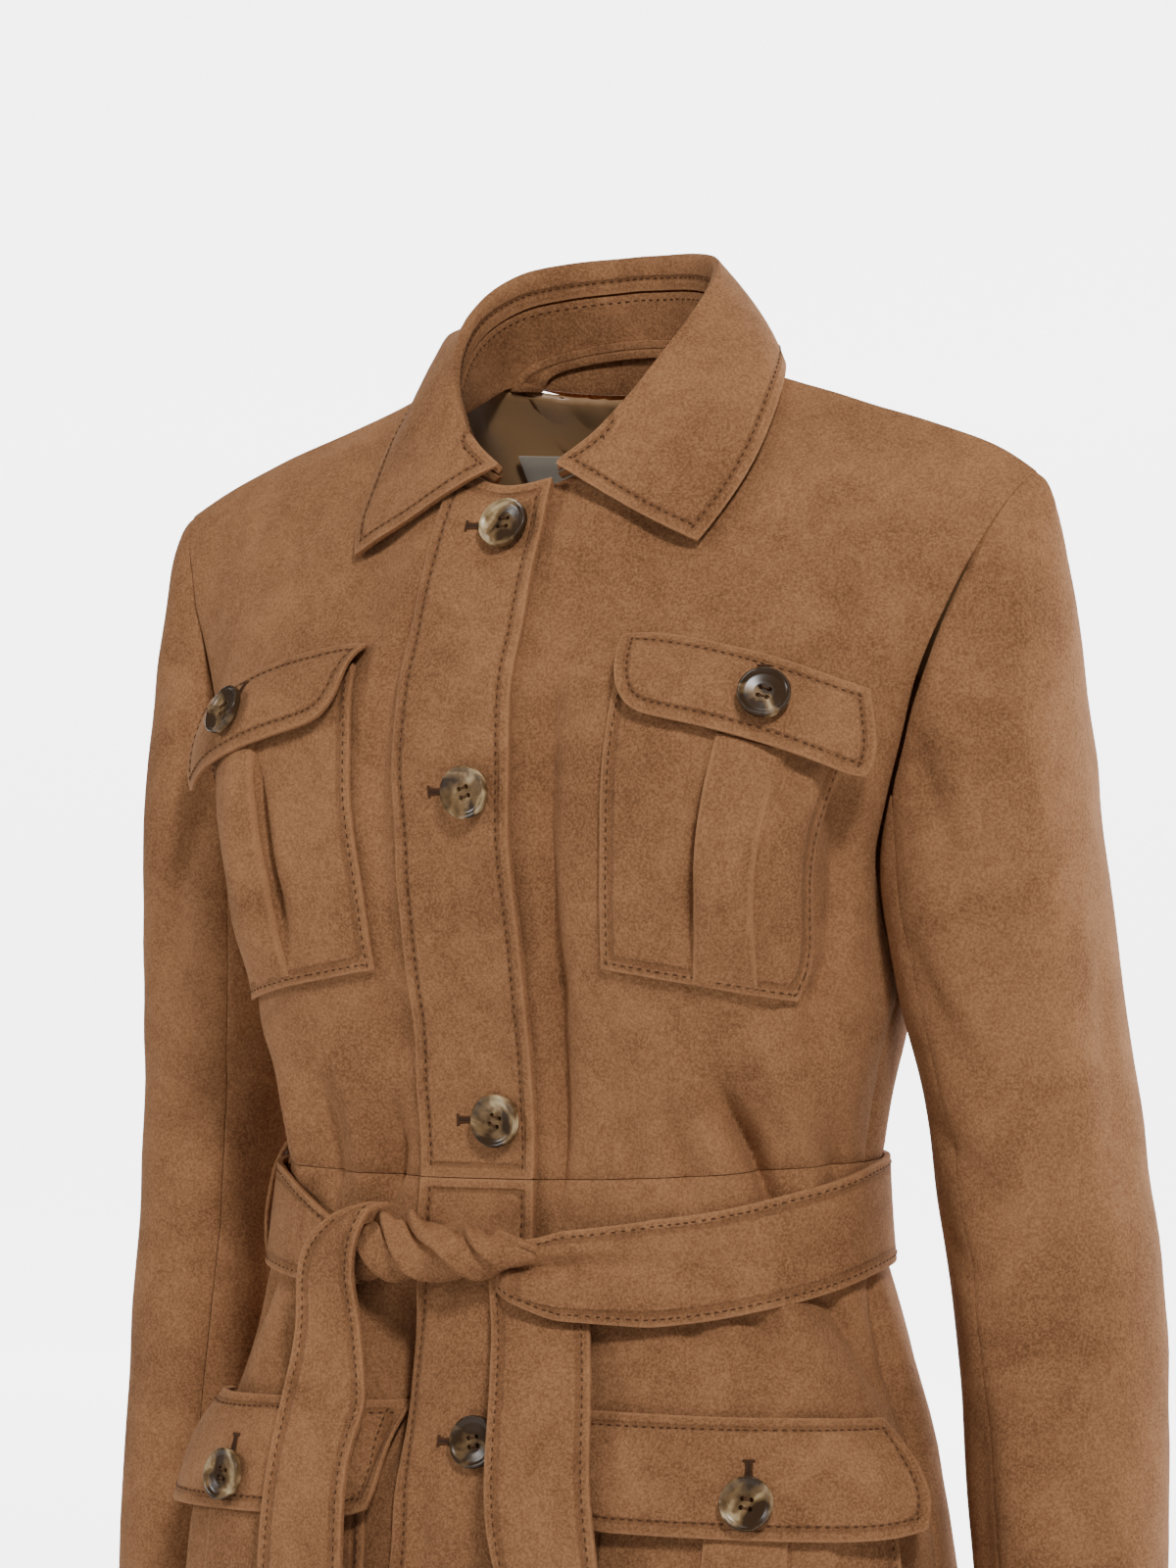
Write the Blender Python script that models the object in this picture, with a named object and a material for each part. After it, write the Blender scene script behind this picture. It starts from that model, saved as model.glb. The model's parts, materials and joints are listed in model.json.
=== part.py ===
"""A belted suede jacket in its worn shape with nobody in it: every cut and sewn piece is a solid of its own.

Metres, +Z up. The wearer would face -Y, and +X is the wearer's left. The origin is midway between the
two shoulder points, at their height, where the wearer's shoulders carry the jacket.
"""

import math
from collections import namedtuple

import bpy
import numpy as np
from mathutils import Vector
from mathutils.bvhtree import BVHTree

# Thicknesses and clearances.
BODY_WALL = 0.0020
SLEEVE_WALL = 0.0019
COLLAR_WALL = 0.0026
PLACKET_WALL = 0.0019
POCKET_WALL = 0.0016
FLAP_WALL = 0.0022
BELT_WALL = 0.0026
LINING_WALL = 0.0010
SEAM_GAP = 0.0003
LAYER_GAP = 0.0005
LAP_LIFT = 0.0028

# Widths across the front closure, measured from the centre front.
PLACKET_FREE = 0.018
PLACKET_INNER = 0.040
UNDERLAP = 0.022

# Columns of a panel are counted in metres from its centre line at chest height.
FIXED_U = 0.045
NECK_U = 0.075
EDGE_U = 0.200

LEFT = 1
RIGHT = -1

Section = namedtuple(
    "Section", "name station z_mid y_mid z_edge x_edge y_edge reach swell flare turn"
)

# Front panel, hem to chest: half sections from the centre front to the side seam or the armhole.
FRONT_SECTIONS = (
    Section("hem", -0.640, -0.640, -0.117, -0.640, 0.184, -0.012, 0.70, 0.000, 0.008, 0.85),
    Section("low hip", -0.545, -0.545, -0.112, -0.545, 0.181, -0.012, 0.72, 0.000, 0.010, 0.85),
    Section("hip", -0.440, -0.440, -0.101, -0.440, 0.172, -0.013, 0.72, 0.000, 0.015, 0.85),
    Section("high hip", -0.394, -0.394, -0.093, -0.394, 0.161, -0.014, 0.74, 0.000, 0.008, 0.85),
    Section("skirt top", -0.362, -0.366, -0.0855, -0.356, 0.1495, -0.015, 0.74, 0.002, 0.002, 0.82),
    Section("belt", -0.328, -0.338, -0.0800, -0.314, 0.1385, -0.016, 0.74, 0.004, 0.000, 0.80),
    Section("waist seam", -0.297, -0.298, -0.0775, -0.290, 0.1405, -0.016, 0.76, 0.006, 0.000, 0.82),
    Section("high waist", -0.266, -0.266, -0.0775, -0.262, 0.1440, -0.015, 0.78, 0.010, 0.004, 0.88),
    Section("under bust", -0.235, -0.234, -0.0815, -0.236, 0.1495, -0.013, 0.78, 0.016, 0.007, 0.90),
    Section("bust", -0.200, -0.196, -0.0895, -0.212, 0.1520, -0.006, 0.78, 0.014, 0.010, 0.92),
    Section("low arm", -0.166, -0.160, -0.0985, -0.172, 0.1530, -0.030, 0.78, 0.004, 0.006, 0.95),
    Section("mid arm", -0.135, -0.122, -0.1040, -0.147, 0.1600, -0.038, 0.78, -0.002, -0.004, 0.85),
    Section("chest", -0.105, -0.085, -0.0980, -0.118, 0.1690, -0.040, 0.76, -0.002, -0.012, 0.75),
)

# Back panel, hem to shoulder blade: half sections from the centre back.
BACK_SECTIONS = (
    Section("hem", -0.640, -0.640, 0.104, -0.640, 0.184, -0.012, 0.60, 0.000, 0.004, 0.60),
    Section("low hip", -0.545, -0.545, 0.100, -0.545, 0.181, -0.012, 0.60, 0.000, 0.004, 0.60),
    Section("hip", -0.440, -0.440, 0.092, -0.440, 0.172, -0.013, 0.58, 0.000, 0.002, 0.58),
    Section("high hip", -0.394, -0.394, 0.086, -0.394, 0.161, -0.014, 0.56, 0.000, 0.002, 0.56),
    Section("skirt top", -0.362, -0.350, 0.0805, -0.356, 0.1495, -0.015, 0.56, 0.000, 0.000, 0.56),
    Section("belt", -0.328, -0.308, 0.0760, -0.314, 0.1385, -0.016, 0.56, 0.000, 0.000, 0.56),
    Section("waist seam", -0.297, -0.282, 0.0775, -0.290, 0.1405, -0.016, 0.56, 0.000, 0.000, 0.56),
    Section("high waist", -0.266, -0.256, 0.0820, -0.262, 0.1440, -0.015, 0.56, 0.000, 0.001, 0.56),
    Section("under bust", -0.235, -0.226, 0.0880, -0.236, 0.1495, -0.013, 0.58, 0.000, 0.002, 0.58),
    Section("bust", -0.200, -0.192, 0.0940, -0.212, 0.1520, -0.006, 0.60, 0.000, 0.004, 0.62),
    Section("low arm", -0.166, -0.158, 0.0975, -0.176, 0.1520, 0.042, 0.66, 0.000, 0.004, 0.90),
    Section("mid arm", -0.135, -0.124, 0.0985, -0.145, 0.1580, 0.056, 0.70, 0.000, -0.004, 0.80),
    Section("chest", -0.105, -0.090, 0.0970, -0.112, 0.1660, 0.060, 0.70, 0.000, -0.012, 0.70),
)

# Neck ring, where the collar is sewn on, and the shoulder seam.
NECK_HALF_WIDTH = 0.066
NECK_FRONT_Y = -0.065
NECK_FRONT_Z = -0.004
NECK_SIDE_Y = -0.006
NECK_SIDE_Z = 0.057
NECK_BACK_Y = 0.047
NECK_BACK_Z = 0.047
SHOULDER_POINTS = (
    ("neck", NECK_HALF_WIDTH, NECK_SIDE_Y, NECK_SIDE_Z),
    ("inner", 0.100, 0.000, 0.0445),
    ("outer", 0.185, 0.004, 0.0165),
    ("arm", 0.213, 0.000, 0.000),
)
TOP_STATION = 0.030

# How a panel runs from the chest row up to its neckline and shoulder seam: direction and strength.
Rise = namedtuple("Rise", "name u low high")
FRONT_RISE = (
    Rise("centre", 0.000, (0, 0.020, 0.070), (0, 0.020, 0.075)),
    Rise("neck", NECK_U, (0, 0.080, 0.120), (0, 0.110, 0.085)),
    Rise("arm", EDGE_U, (0.020, 0.000, 0.120), (0.020, 0.095, 0.045)),
)
BACK_RISE = (
    Rise("centre", 0.000, (0, -0.010, 0.110), (0, -0.075, 0.095)),
    Rise("neck", NECK_U, (0, -0.012, 0.130), (0, -0.130, 0.070)),
    Rise("arm", EDGE_U, (0.020, 0.005, 0.110), (0.022, -0.110, 0.040)),
)

# Soft creases: a line from one place to another as seen from the front or back, its width and its height.
Fold = namedtuple("Fold", "name side x_start z_start x_end z_end width height")
FRONT_FOLDS = (
    Fold("left waist crease", LEFT, 0.126, -0.300, 0.098, -0.236, 0.0115, -0.0048),
    Fold("left waist ridge", LEFT, 0.141, -0.292, 0.136, -0.236, 0.0120, 0.0040),
    Fold("left dart dimple", LEFT, 0.088, -0.310, 0.096, -0.262, 0.0150, -0.0025),
    Fold("left arm hollow", LEFT, 0.156, -0.136, 0.140, -0.236, 0.0100, -0.0045),
    Fold("left skirt crease", LEFT, 0.138, -0.350, 0.157, -0.402, 0.0080, -0.0050),
    Fold("left skirt ridge", LEFT, 0.118, -0.352, 0.130, -0.392, 0.0120, 0.0025),
    Fold("left hem wave", LEFT, 0.110, -0.500, 0.120, -0.660, 0.0240, -0.0050),
    Fold("right waist crease", RIGHT, 0.056, -0.318, 0.052, -0.262, 0.0090, -0.0035),
    Fold("right waist ridge", RIGHT, 0.080, -0.300, 0.090, -0.240, 0.0140, 0.0030),
    Fold("right side crease", RIGHT, 0.128, -0.296, 0.139, -0.240, 0.0090, -0.0050),
    Fold("right arm hollow", RIGHT, 0.156, -0.140, 0.144, -0.236, 0.0100, -0.0040),
    Fold("right skirt hollow", RIGHT, 0.053, -0.350, 0.052, -0.410, 0.0100, -0.0060),
    Fold("right skirt ridge", RIGHT, 0.105, -0.356, 0.118, -0.396, 0.0130, 0.0025),
    Fold("right hem wave", RIGHT, 0.100, -0.500, 0.112, -0.660, 0.0240, -0.0060),
)
BACK_FOLDS = (
    Fold("left blouse crease", LEFT, 0.042, -0.286, 0.050, -0.222, 0.0110, -0.0045),
    Fold("left blouse ridge", LEFT, 0.068, -0.284, 0.080, -0.206, 0.0150, 0.0040),
    Fold("left side crease", LEFT, 0.108, -0.288, 0.116, -0.232, 0.0100, -0.0045),
    Fold("left arm fold", LEFT, 0.146, -0.150, 0.118, -0.236, 0.0130, 0.0040),
    Fold("left skirt crease", LEFT, 0.052, -0.336, 0.060, -0.420, 0.0120, -0.0045),
    Fold("left skirt wave", LEFT, 0.104, -0.346, 0.122, -0.660, 0.0200, 0.0060),
    Fold("right blouse crease", RIGHT, 0.030, -0.284, 0.034, -0.236, 0.0110, -0.0040),
    Fold("right blouse ridge", RIGHT, 0.060, -0.286, 0.066, -0.198, 0.0150, 0.0045),
    Fold("right side crease", RIGHT, 0.098, -0.290, 0.110, -0.236, 0.0100, -0.0040),
    Fold("right arm fold", RIGHT, 0.148, -0.156, 0.124, -0.244, 0.0130, 0.0035),
    Fold("right skirt crease", RIGHT, 0.070, -0.340, 0.076, -0.404, 0.0120, -0.0040),
    Fold("right skirt wave", RIGHT, 0.116, -0.346, 0.130, -0.660, 0.0200, 0.0055),
)

# Sleeve rings down the arm: the tilt lifts the ring's outer side.
Ring = namedtuple("Ring", "name station x y z half_width half_depth tilt")
SLEEVE_RINGS = (
    Ring("upper arm", 1.0, 0.1930, 0.011, -0.185, 0.0400, 0.0560, 0.050),
    Ring("above elbow", 2.0, 0.1985, 0.019, -0.236, 0.0415, 0.0535, 0.028),
    Ring("elbow", 3.0, 0.2035, 0.0245, -0.292, 0.0435, 0.0510, 0.013),
    Ring("below elbow", 4.0, 0.2100, 0.0290, -0.354, 0.0440, 0.0495, 0.004),
    Ring("forearm", 5.0, 0.2145, 0.0256, -0.423, 0.0420, 0.0475, 0.000),
    Ring("wrist", 6.0, 0.2180, 0.0220, -0.500, 0.0400, 0.0450, 0.000),
    Ring("cuff", 7.0, 0.2230, 0.0160, -0.602, 0.0375, 0.0425, 0.000),
)
FOREARM_SEAM_TOP = 124.0
FOREARM_SEAM_CUFF = 106.0
HIND_SEAM_TOP = 124.0
HIND_SEAM_CUFF = 112.0
SeamPull = namedtuple("SeamPull", "name turn strength")
CAP_PULLS = (
    SeamPull("crown", 0.0, (0.052, 0.000, 0.000)),
    SeamPull("front", -75.0, (0.060, -0.020, -0.045)),
    SeamPull("front fork", -130.0, (0.012, -0.012, -0.060)),
    SeamPull("under", -180.0, (0.005, 0.000, -0.022)),
)
ArmFold = namedtuple("ArmFold", "name side turn z_start z_end width height")
ARM_FOLDS = (
    ArmFold("left front drape", LEFT, -48.0, -0.040, -0.250, 0.014, 0.0030),
    ArmFold("left elbow crease", LEFT, -100.0, -0.250, -0.330, 0.013, -0.0035),
    ArmFold("left outer drape", LEFT, 18.0, -0.080, -0.300, 0.018, -0.0025),
    ArmFold("left hind drape", LEFT, 92.0, -0.060, -0.240, 0.015, -0.0040),
    ArmFold("left cuff wave", LEFT, -20.0, -0.430, -0.620, 0.018, 0.0025),
    ArmFold("right front drape", RIGHT, -60.0, -0.050, -0.230, 0.014, 0.0035),
    ArmFold("right elbow crease", RIGHT, -92.0, -0.270, -0.350, 0.013, -0.0030),
    ArmFold("right outer drape", RIGHT, 10.0, -0.100, -0.320, 0.018, -0.0025),
    ArmFold("right hind drape", RIGHT, 84.0, -0.070, -0.250, 0.015, -0.0040),
    ArmFold("right cuff wave", RIGHT, -30.0, -0.440, -0.620, 0.018, 0.0030),
)

# Collar, from its front ends round to the back: heights of the stand's top and of the roll,
# and the leaf's edge.
Collar = namedtuple("Collar", "name turn stand_z roll_z edge_x edge_y edge_z lean")
COLLAR_SECTIONS = (
    Collar("end", 14.0, 0.0028, 0.0080, 0.0805, -0.0560, -0.0300, 0.000),
    Collar("point", 34.0, 0.0150, 0.0240, 0.0865, -0.0480, -0.0140, 0.002),
    Collar("front", 52.0, 0.0320, 0.0460, 0.0920, -0.0405, 0.0060, 0.009),
    Collar("fore side", 72.0, 0.0540, 0.0680, 0.0965, -0.0290, 0.0300, 0.009),
    Collar("side", 92.0, 0.0700, 0.0860, 0.0930, -0.0060, 0.0500, 0.006),
    Collar("hind side", 116.0, 0.0830, 0.1000, 0.0770, 0.0220, 0.0590, 0.002),
    Collar("hind", 148.0, 0.0910, 0.1080, 0.0470, 0.0540, 0.0510, 0.000),
    Collar("back", 180.0, 0.0935, 0.1100, 0.0000, 0.0650, 0.0430, 0.000),
)
ROLL_HALF_WIDTH = 0.0610
ROLL_FRONT_Y = -0.0700
ROLL_BACK_Y = 0.0410
COLLAR_TURN = 0.0060

# Pockets and flaps on the fronts: each corner's column and station, for one side.
Corner = namedtuple("Corner", "u station")
Patch = namedtuple("Patch", "name in_top out_top in_low out_low")
CHEST_POCKET = Patch(
    "chest_pocket",
    in_top=Corner(0.0660, -0.0950),
    out_top=Corner(0.1735, -0.1060),
    in_low=Corner(0.0565, -0.2105),
    out_low=Corner(0.1385, -0.2190),
)
CHEST_FLAP = Patch(
    "chest_flap",
    in_top=Corner(0.0630, -0.0850),
    out_top=Corner(0.1760, -0.0830),
    in_low=Corner(0.0690, -0.1170),
    out_low=Corner(0.1785, -0.1200),
)
HIP_POCKET = Patch(
    "hip_pocket",
    in_top=Corner(0.0560, -0.4020),
    out_top=Corner(0.1680, -0.4030),
    in_low=Corner(0.0500, -0.5700),
    out_low=Corner(0.1680, -0.5700),
)
HIP_FLAP = Patch(
    "hip_flap",
    in_top=Corner(0.0460, -0.3930),
    out_top=Corner(0.1755, -0.3950),
    in_low=Corner(0.0430, -0.4420),
    out_low=Corner(0.1765, -0.4445),
)
Pleat = namedtuple("Pleat", "start end height")
CHEST_PLEAT = Pleat(0.50, 0.77, 0.0024)
HIP_PLEAT = Pleat(0.46, 0.79, 0.0024)

# Belt: how far down its centre line runs, by panel and column, and its width.
BELT_WIDTH = 0.0445
BELT_CLEAR = 0.0014
BeltPoint = namedtuple("BeltPoint", "name panel side u z lift")
BELT_PATH = (
    BeltPoint("knot end", "front", LEFT, 0.050, -0.3400, 0.0064),
    BeltPoint("front left", "front", LEFT, 0.066, -0.3385, 0.0050),
    BeltPoint("hip left", "front", LEFT, 0.100, -0.3340, 0.0022),
    BeltPoint("fore side left", "front", LEFT, 0.150, -0.3240, 0.0006),
    BeltPoint("side left", "front", LEFT, 0.200, -0.3130, 0.0004),
    BeltPoint("hind side left", "back", LEFT, 0.150, -0.3090, 0.0004),
    BeltPoint("back left", "back", LEFT, 0.075, -0.3060, 0.0004),
    BeltPoint("back", "back", LEFT, 0.000, -0.3050, 0.0004),
    BeltPoint("back right", "back", RIGHT, 0.075, -0.3060, 0.0004),
    BeltPoint("hind side right", "back", RIGHT, 0.150, -0.3090, 0.0004),
    BeltPoint("side right", "front", RIGHT, 0.200, -0.3130, 0.0004),
    BeltPoint("fore side right", "front", RIGHT, 0.150, -0.3160, 0.0010),
    BeltPoint("hip right", "front", RIGHT, 0.100, -0.3220, 0.0030),
    BeltPoint("knot side", "front", RIGHT, 0.064, -0.3270, 0.0050),
)

# The knot is a rope of twisted belt from the left band across to the top of the hanging tail.
Twist = namedtuple("Twist", "name x z height thickness lift spin")
KNOT_SECTIONS = (
    Twist("band", 0.0470, -0.3402, 0.0425, 0.0030, 0.0092, 0.0),
    Twist("gather", 0.0330, -0.3400, 0.0350, 0.0080, 0.0125, 18.0),
    Twist("neck", 0.0170, -0.3360, 0.0250, 0.0120, 0.0140, 48.0),
    Twist("waist", 0.0020, -0.3310, 0.0190, 0.0140, 0.0145, 84.0),
    Twist("rope", -0.0130, -0.3290, 0.0210, 0.0140, 0.0145, 124.0),
    Twist("swell", -0.0270, -0.3280, 0.0270, 0.0130, 0.0135, 156.0),
    Twist("end", -0.0440, -0.3290, 0.0270, 0.0100, 0.0120, 180.0),
)

# Hanging ends of the belt: each row gives its two edges, its height and how far it stands off the panel.
TailRow = namedtuple("TailRow", "x_right x_left z lift")
TAIL_FROM_KNOT = (
    TailRow(-0.0470, -0.0600, -0.3120, 0.0115),
    TailRow(-0.0525, -0.0720, -0.3150, 0.0185),
    TailRow(-0.0590, -0.0840, -0.3260, 0.0200),
    TailRow(-0.0635, -0.0915, -0.3440, 0.0160),
    TailRow(-0.0635, -0.0930, -0.3700, 0.0120),
    TailRow(-0.0585, -0.0945, -0.4000, 0.0140),
    TailRow(-0.0545, -0.0960, -0.4300, 0.0165),
    TailRow(-0.0515, -0.0955, -0.4620, 0.0180),
    TailRow(-0.0500, -0.0945, -0.5000, 0.0160),
    TailRow(-0.0490, -0.0930, -0.5450, 0.0150),
    TailRow(-0.0480, -0.0920, -0.6050, 0.0150),
)
TAIL_FROM_BAND = (
    TailRow(-0.0010, 0.0420, -0.3360, 0.0010),
    TailRow(0.0015, 0.0455, -0.3520, 0.0012),
    TailRow(0.0060, 0.0505, -0.3700, 0.0055),
    TailRow(0.0115, 0.0565, -0.3960, 0.0105),
    TailRow(0.0150, 0.0610, -0.4280, 0.0145),
    TailRow(0.0230, 0.0690, -0.4660, 0.0155),
    TailRow(0.0270, 0.0730, -0.5100, 0.0150),
    TailRow(0.0290, 0.0750, -0.5600, 0.0140),
    TailRow(0.0300, 0.0755, -0.5900, 0.0140),
)

# Belt loops, hanger loop, lining and label.
LOOP_WIDTH = 0.0120
LOOP_HEIGHT = 0.0580
LOOP_BOW = 0.0115
LOOP_WALL = 0.0020
LOOP_PLACES = (
    ("belt_loop_right", "front", RIGHT, 0.186, -0.3150),
    ("belt_loop_left", "back", LEFT, 0.118, -0.3070),
)
HANGER_HALF_SPAN = 0.0500
HANGER_BASE_Z = 0.0500
HANGER_RISE = 0.0140
HANGER_WIDTH = 0.0080
HANGER_WALL = 0.0018
LINING_ROWS = 6
LABEL_CENTRE_X = -0.037
LABEL_SIZE = (0.046, 0.022)

# Buttons.
BUTTON_RADIUS = 0.0112
BUTTON_HEIGHT = 0.0034
BUTTON_SIDES = 16
ButtonPlace = namedtuple("ButtonPlace", "name x z")
FRONT_BUTTONS = (
    ButtonPlace("button_front_1", 0.0, -0.0205),
    ButtonPlace("button_front_2", 0.0, -0.1340),
    ButtonPlace("button_front_3", 0.0, -0.2730),
    ButtonPlace("button_front_4", 0.0, -0.4080),
    ButtonPlace("button_front_5", 0.0, -0.5450),
)

PocketButton = namedtuple("PocketButton", "name flap x z")
POCKET_BUTTONS = (
    PocketButton("button_chest", "chest_flap", 0.1290, -0.0990),
    PocketButton("button_hip", "hip_flap", 0.1250, -0.4290),
)

# Grid of the panels.
LOW_STATIONS = 7
MID_STATIONS = 6
ARM_STATIONS = 12
SHOULDER_COLUMNS = 7

Finish = namedtuple("Finish", "name colour roughness metallic")
SUEDE = Finish("tan suede", (0.305, 0.165, 0.082, 1.0), 0.92, 0.0)
SATIN = Finish("tan satin", (0.335, 0.190, 0.090, 1.0), 0.45, 0.0)
HORN = Finish("marbled horn", (0.150, 0.105, 0.072, 1.0), 0.25, 0.0)
TAPE = Finish("grey woven tape", (0.480, 0.430, 0.360, 1.0), 0.80, 0.0)


def clear_scene():
    for thing in list(bpy.data.objects):
        bpy.data.objects.remove(thing, do_unlink=True)


def material_of(finish):
    made = bpy.data.materials.get(finish.name)
    if made is None:
        made = bpy.data.materials.new(finish.name)
        made.use_nodes = True
        shader = made.node_tree.nodes["Principled BSDF"]
        shader.inputs["Base Color"].default_value = finish.colour
        shader.inputs["Roughness"].default_value = finish.roughness
        shader.inputs["Metallic"].default_value = finish.metallic
    return made


def add_mesh(name, points, faces, finish, smooth=True):
    """One closed mesh as an object of its own, turned so that its faces point out."""
    points = np.asarray(points, float)
    volume = 0.0
    for face in faces:
        first = points[face[0]]
        for a, b in zip(face[1:-1], face[2:]):
            volume += float(np.dot(first, np.cross(points[a], points[b])))
    if volume < 0:
        faces = [tuple(reversed(face)) for face in faces]
    mesh = bpy.data.meshes.new(name)
    mesh.from_pydata([tuple(p) for p in points], [], faces)
    mesh.materials.append(material_of(finish))
    if smooth:
        mesh.shade_smooth()
        mesh.set_sharp_from_angle(angle=math.radians(50))
    made = bpy.data.objects.new(name, mesh)
    bpy.context.scene.collection.objects.link(made)
    return made


def unit(vectors):
    return vectors / np.maximum(np.linalg.norm(vectors, axis=-1, keepdims=True), 1e-12)


def smooth_step(low, high, value):
    t = np.clip((value - low) / (high - low), 0.0, 1.0)
    return t * t * (3.0 - 2.0 * t)


def through(knots, values, at):
    """A smooth curve through values at rising knots, read at the places asked for."""
    knots = np.asarray(knots, float)
    values = np.asarray(values, float)
    at = np.atleast_1d(np.asarray(at, float))
    slopes = np.empty_like(values)
    slopes[0] = (values[1] - values[0]) / (knots[1] - knots[0])
    slopes[-1] = (values[-1] - values[-2]) / (knots[-1] - knots[-2])
    spans = (knots[2:] - knots[:-2]).reshape((-1,) + (1,) * (values.ndim - 1))
    slopes[1:-1] = (values[2:] - values[:-2]) / spans
    i = np.clip(np.searchsorted(knots, at, side="right") - 1, 0, len(knots) - 2)
    shape = (-1,) + (1,) * (values.ndim - 1)
    h = (knots[i + 1] - knots[i]).reshape(shape)
    t = ((at - knots[i]).reshape(shape)) / h
    start = (2 * t**3 - 3 * t**2 + 1) * values[i] + (t**3 - 2 * t**2 + t) * h * slopes[i]
    end = (-2 * t**3 + 3 * t**2) * values[i + 1] + (t**3 - t**2) * h * slopes[i + 1]
    return start + end


def across_rows(knots, lines, at):
    """A smooth curve down each column of lines, read at one place for each column."""
    knots = np.asarray(knots, float)
    steps = np.diff(knots)[:, None, None]
    slopes = np.empty_like(lines)
    slopes[0] = (lines[1] - lines[0]) / steps[0]
    slopes[-1] = (lines[-1] - lines[-2]) / steps[-1]
    slopes[1:-1] = (lines[2:] - lines[:-2]) / (steps[1:] + steps[:-1])
    i = np.clip(np.searchsorted(knots, at, side="right") - 1, 0, len(knots) - 2)
    column = np.arange(len(at))
    h = (knots[i + 1] - knots[i])[:, None]
    t = (at - knots[i])[:, None] / h
    start = (2 * t**3 - 3 * t**2 + 1) * lines[i, column]
    start += (t**3 - 2 * t**2 + t) * h * slopes[i, column]
    end = (-2 * t**3 + 3 * t**2) * lines[i + 1, column]
    end += (t**3 - t**2) * h * slopes[i + 1, column]
    return start + end


class Row:
    """A line of a panel, read by column."""

    def __init__(self, points, neck):
        self.points = np.asarray(points, float)
        steps = np.linalg.norm(np.diff(self.points, axis=0), axis=1)
        self.arcs = np.concatenate([[0.0], np.cumsum(steps)])
        self.neck = neck

    def at(self, u):
        """The points at columns u. A negative column lies past the centre line."""
        u = np.asarray(u, float)
        side = np.where(u < 0, -1.0, 1.0)
        u = np.abs(u)
        near_neck = FIXED_U + (self.neck - FIXED_U) * (u - FIXED_U) / (NECK_U - FIXED_U)
        rest = self.arcs[-1] - self.neck
        beyond = self.neck + rest * (u - NECK_U) / (EDGE_U - NECK_U)
        arc = np.where(u <= FIXED_U, u, np.where(u <= NECK_U, near_neck, beyond))
        found = np.stack([np.interp(arc, self.arcs, self.points[:, k]) for k in range(3)], -1)
        found[..., 0] *= side
        return found


def section_row(section):
    """A half section: one cubic curve from the middle of the panel to its edge."""
    t = np.linspace(0, 1, 97)[:, None]
    depth = section.y_edge - section.y_mid
    sign = 1.0 if section.y_mid > 0 else -1.0
    start = np.array([0.0, section.y_mid])
    handle = np.array([section.reach * section.x_edge, section.y_mid + sign * section.swell])
    shoulder = np.array([section.x_edge + section.flare, section.y_edge - section.turn * depth])
    end = np.array([section.x_edge, section.y_edge])
    plan = (
        (1 - t) ** 3 * start
        + 3 * (1 - t) ** 2 * t * handle
        + 3 * (1 - t) * t**2 * shoulder
        + t**3 * end
    )
    blend = t[:, 0] ** 2 * (3 - 2 * t[:, 0])
    height = section.z_mid + (section.z_edge - section.z_mid) * blend
    return Row(np.column_stack([plan, height]), NECK_U)


def shoulder_line(count):
    """Points along the shoulder seam, neck to arm, evenly spaced."""
    knots = np.arange(len(SHOULDER_POINTS), dtype=float)
    values = np.array([p[1:] for p in SHOULDER_POINTS])
    fine = through(knots, values, np.linspace(0, knots[-1], 61))
    arcs = np.concatenate([[0.0], np.cumsum(np.linalg.norm(np.diff(fine, axis=0), axis=1))])
    at = np.linspace(0, arcs[-1], count + 1)
    return np.stack([np.interp(at, arcs, fine[:, k]) for k in range(3)], -1)


def neck_quarter(y_mid, z_mid):
    """The neckline from the middle of a panel to the side of the neck."""
    turn = np.radians(np.linspace(0, 90, 41))
    x = NECK_HALF_WIDTH * np.sin(turn)
    y = NECK_SIDE_Y + (y_mid - NECK_SIDE_Y) * np.cos(turn)
    rise = smooth_step(0.0, 1.15, np.sin(turn)) / smooth_step(0.0, 1.15, 1.0)
    z = z_mid + (NECK_SIDE_Z - z_mid) * (0.15 * rise + 0.85 * (1 - np.cos(turn)))
    return np.column_stack([x, y, z])


def top_row(y_mid, z_mid):
    neck = neck_quarter(y_mid, z_mid)
    shoulder = shoulder_line(60)
    made = Row(np.vstack([neck, shoulder[1:]]), NECK_U)
    made.neck = made.arcs[len(neck) - 1]
    return made


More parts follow.
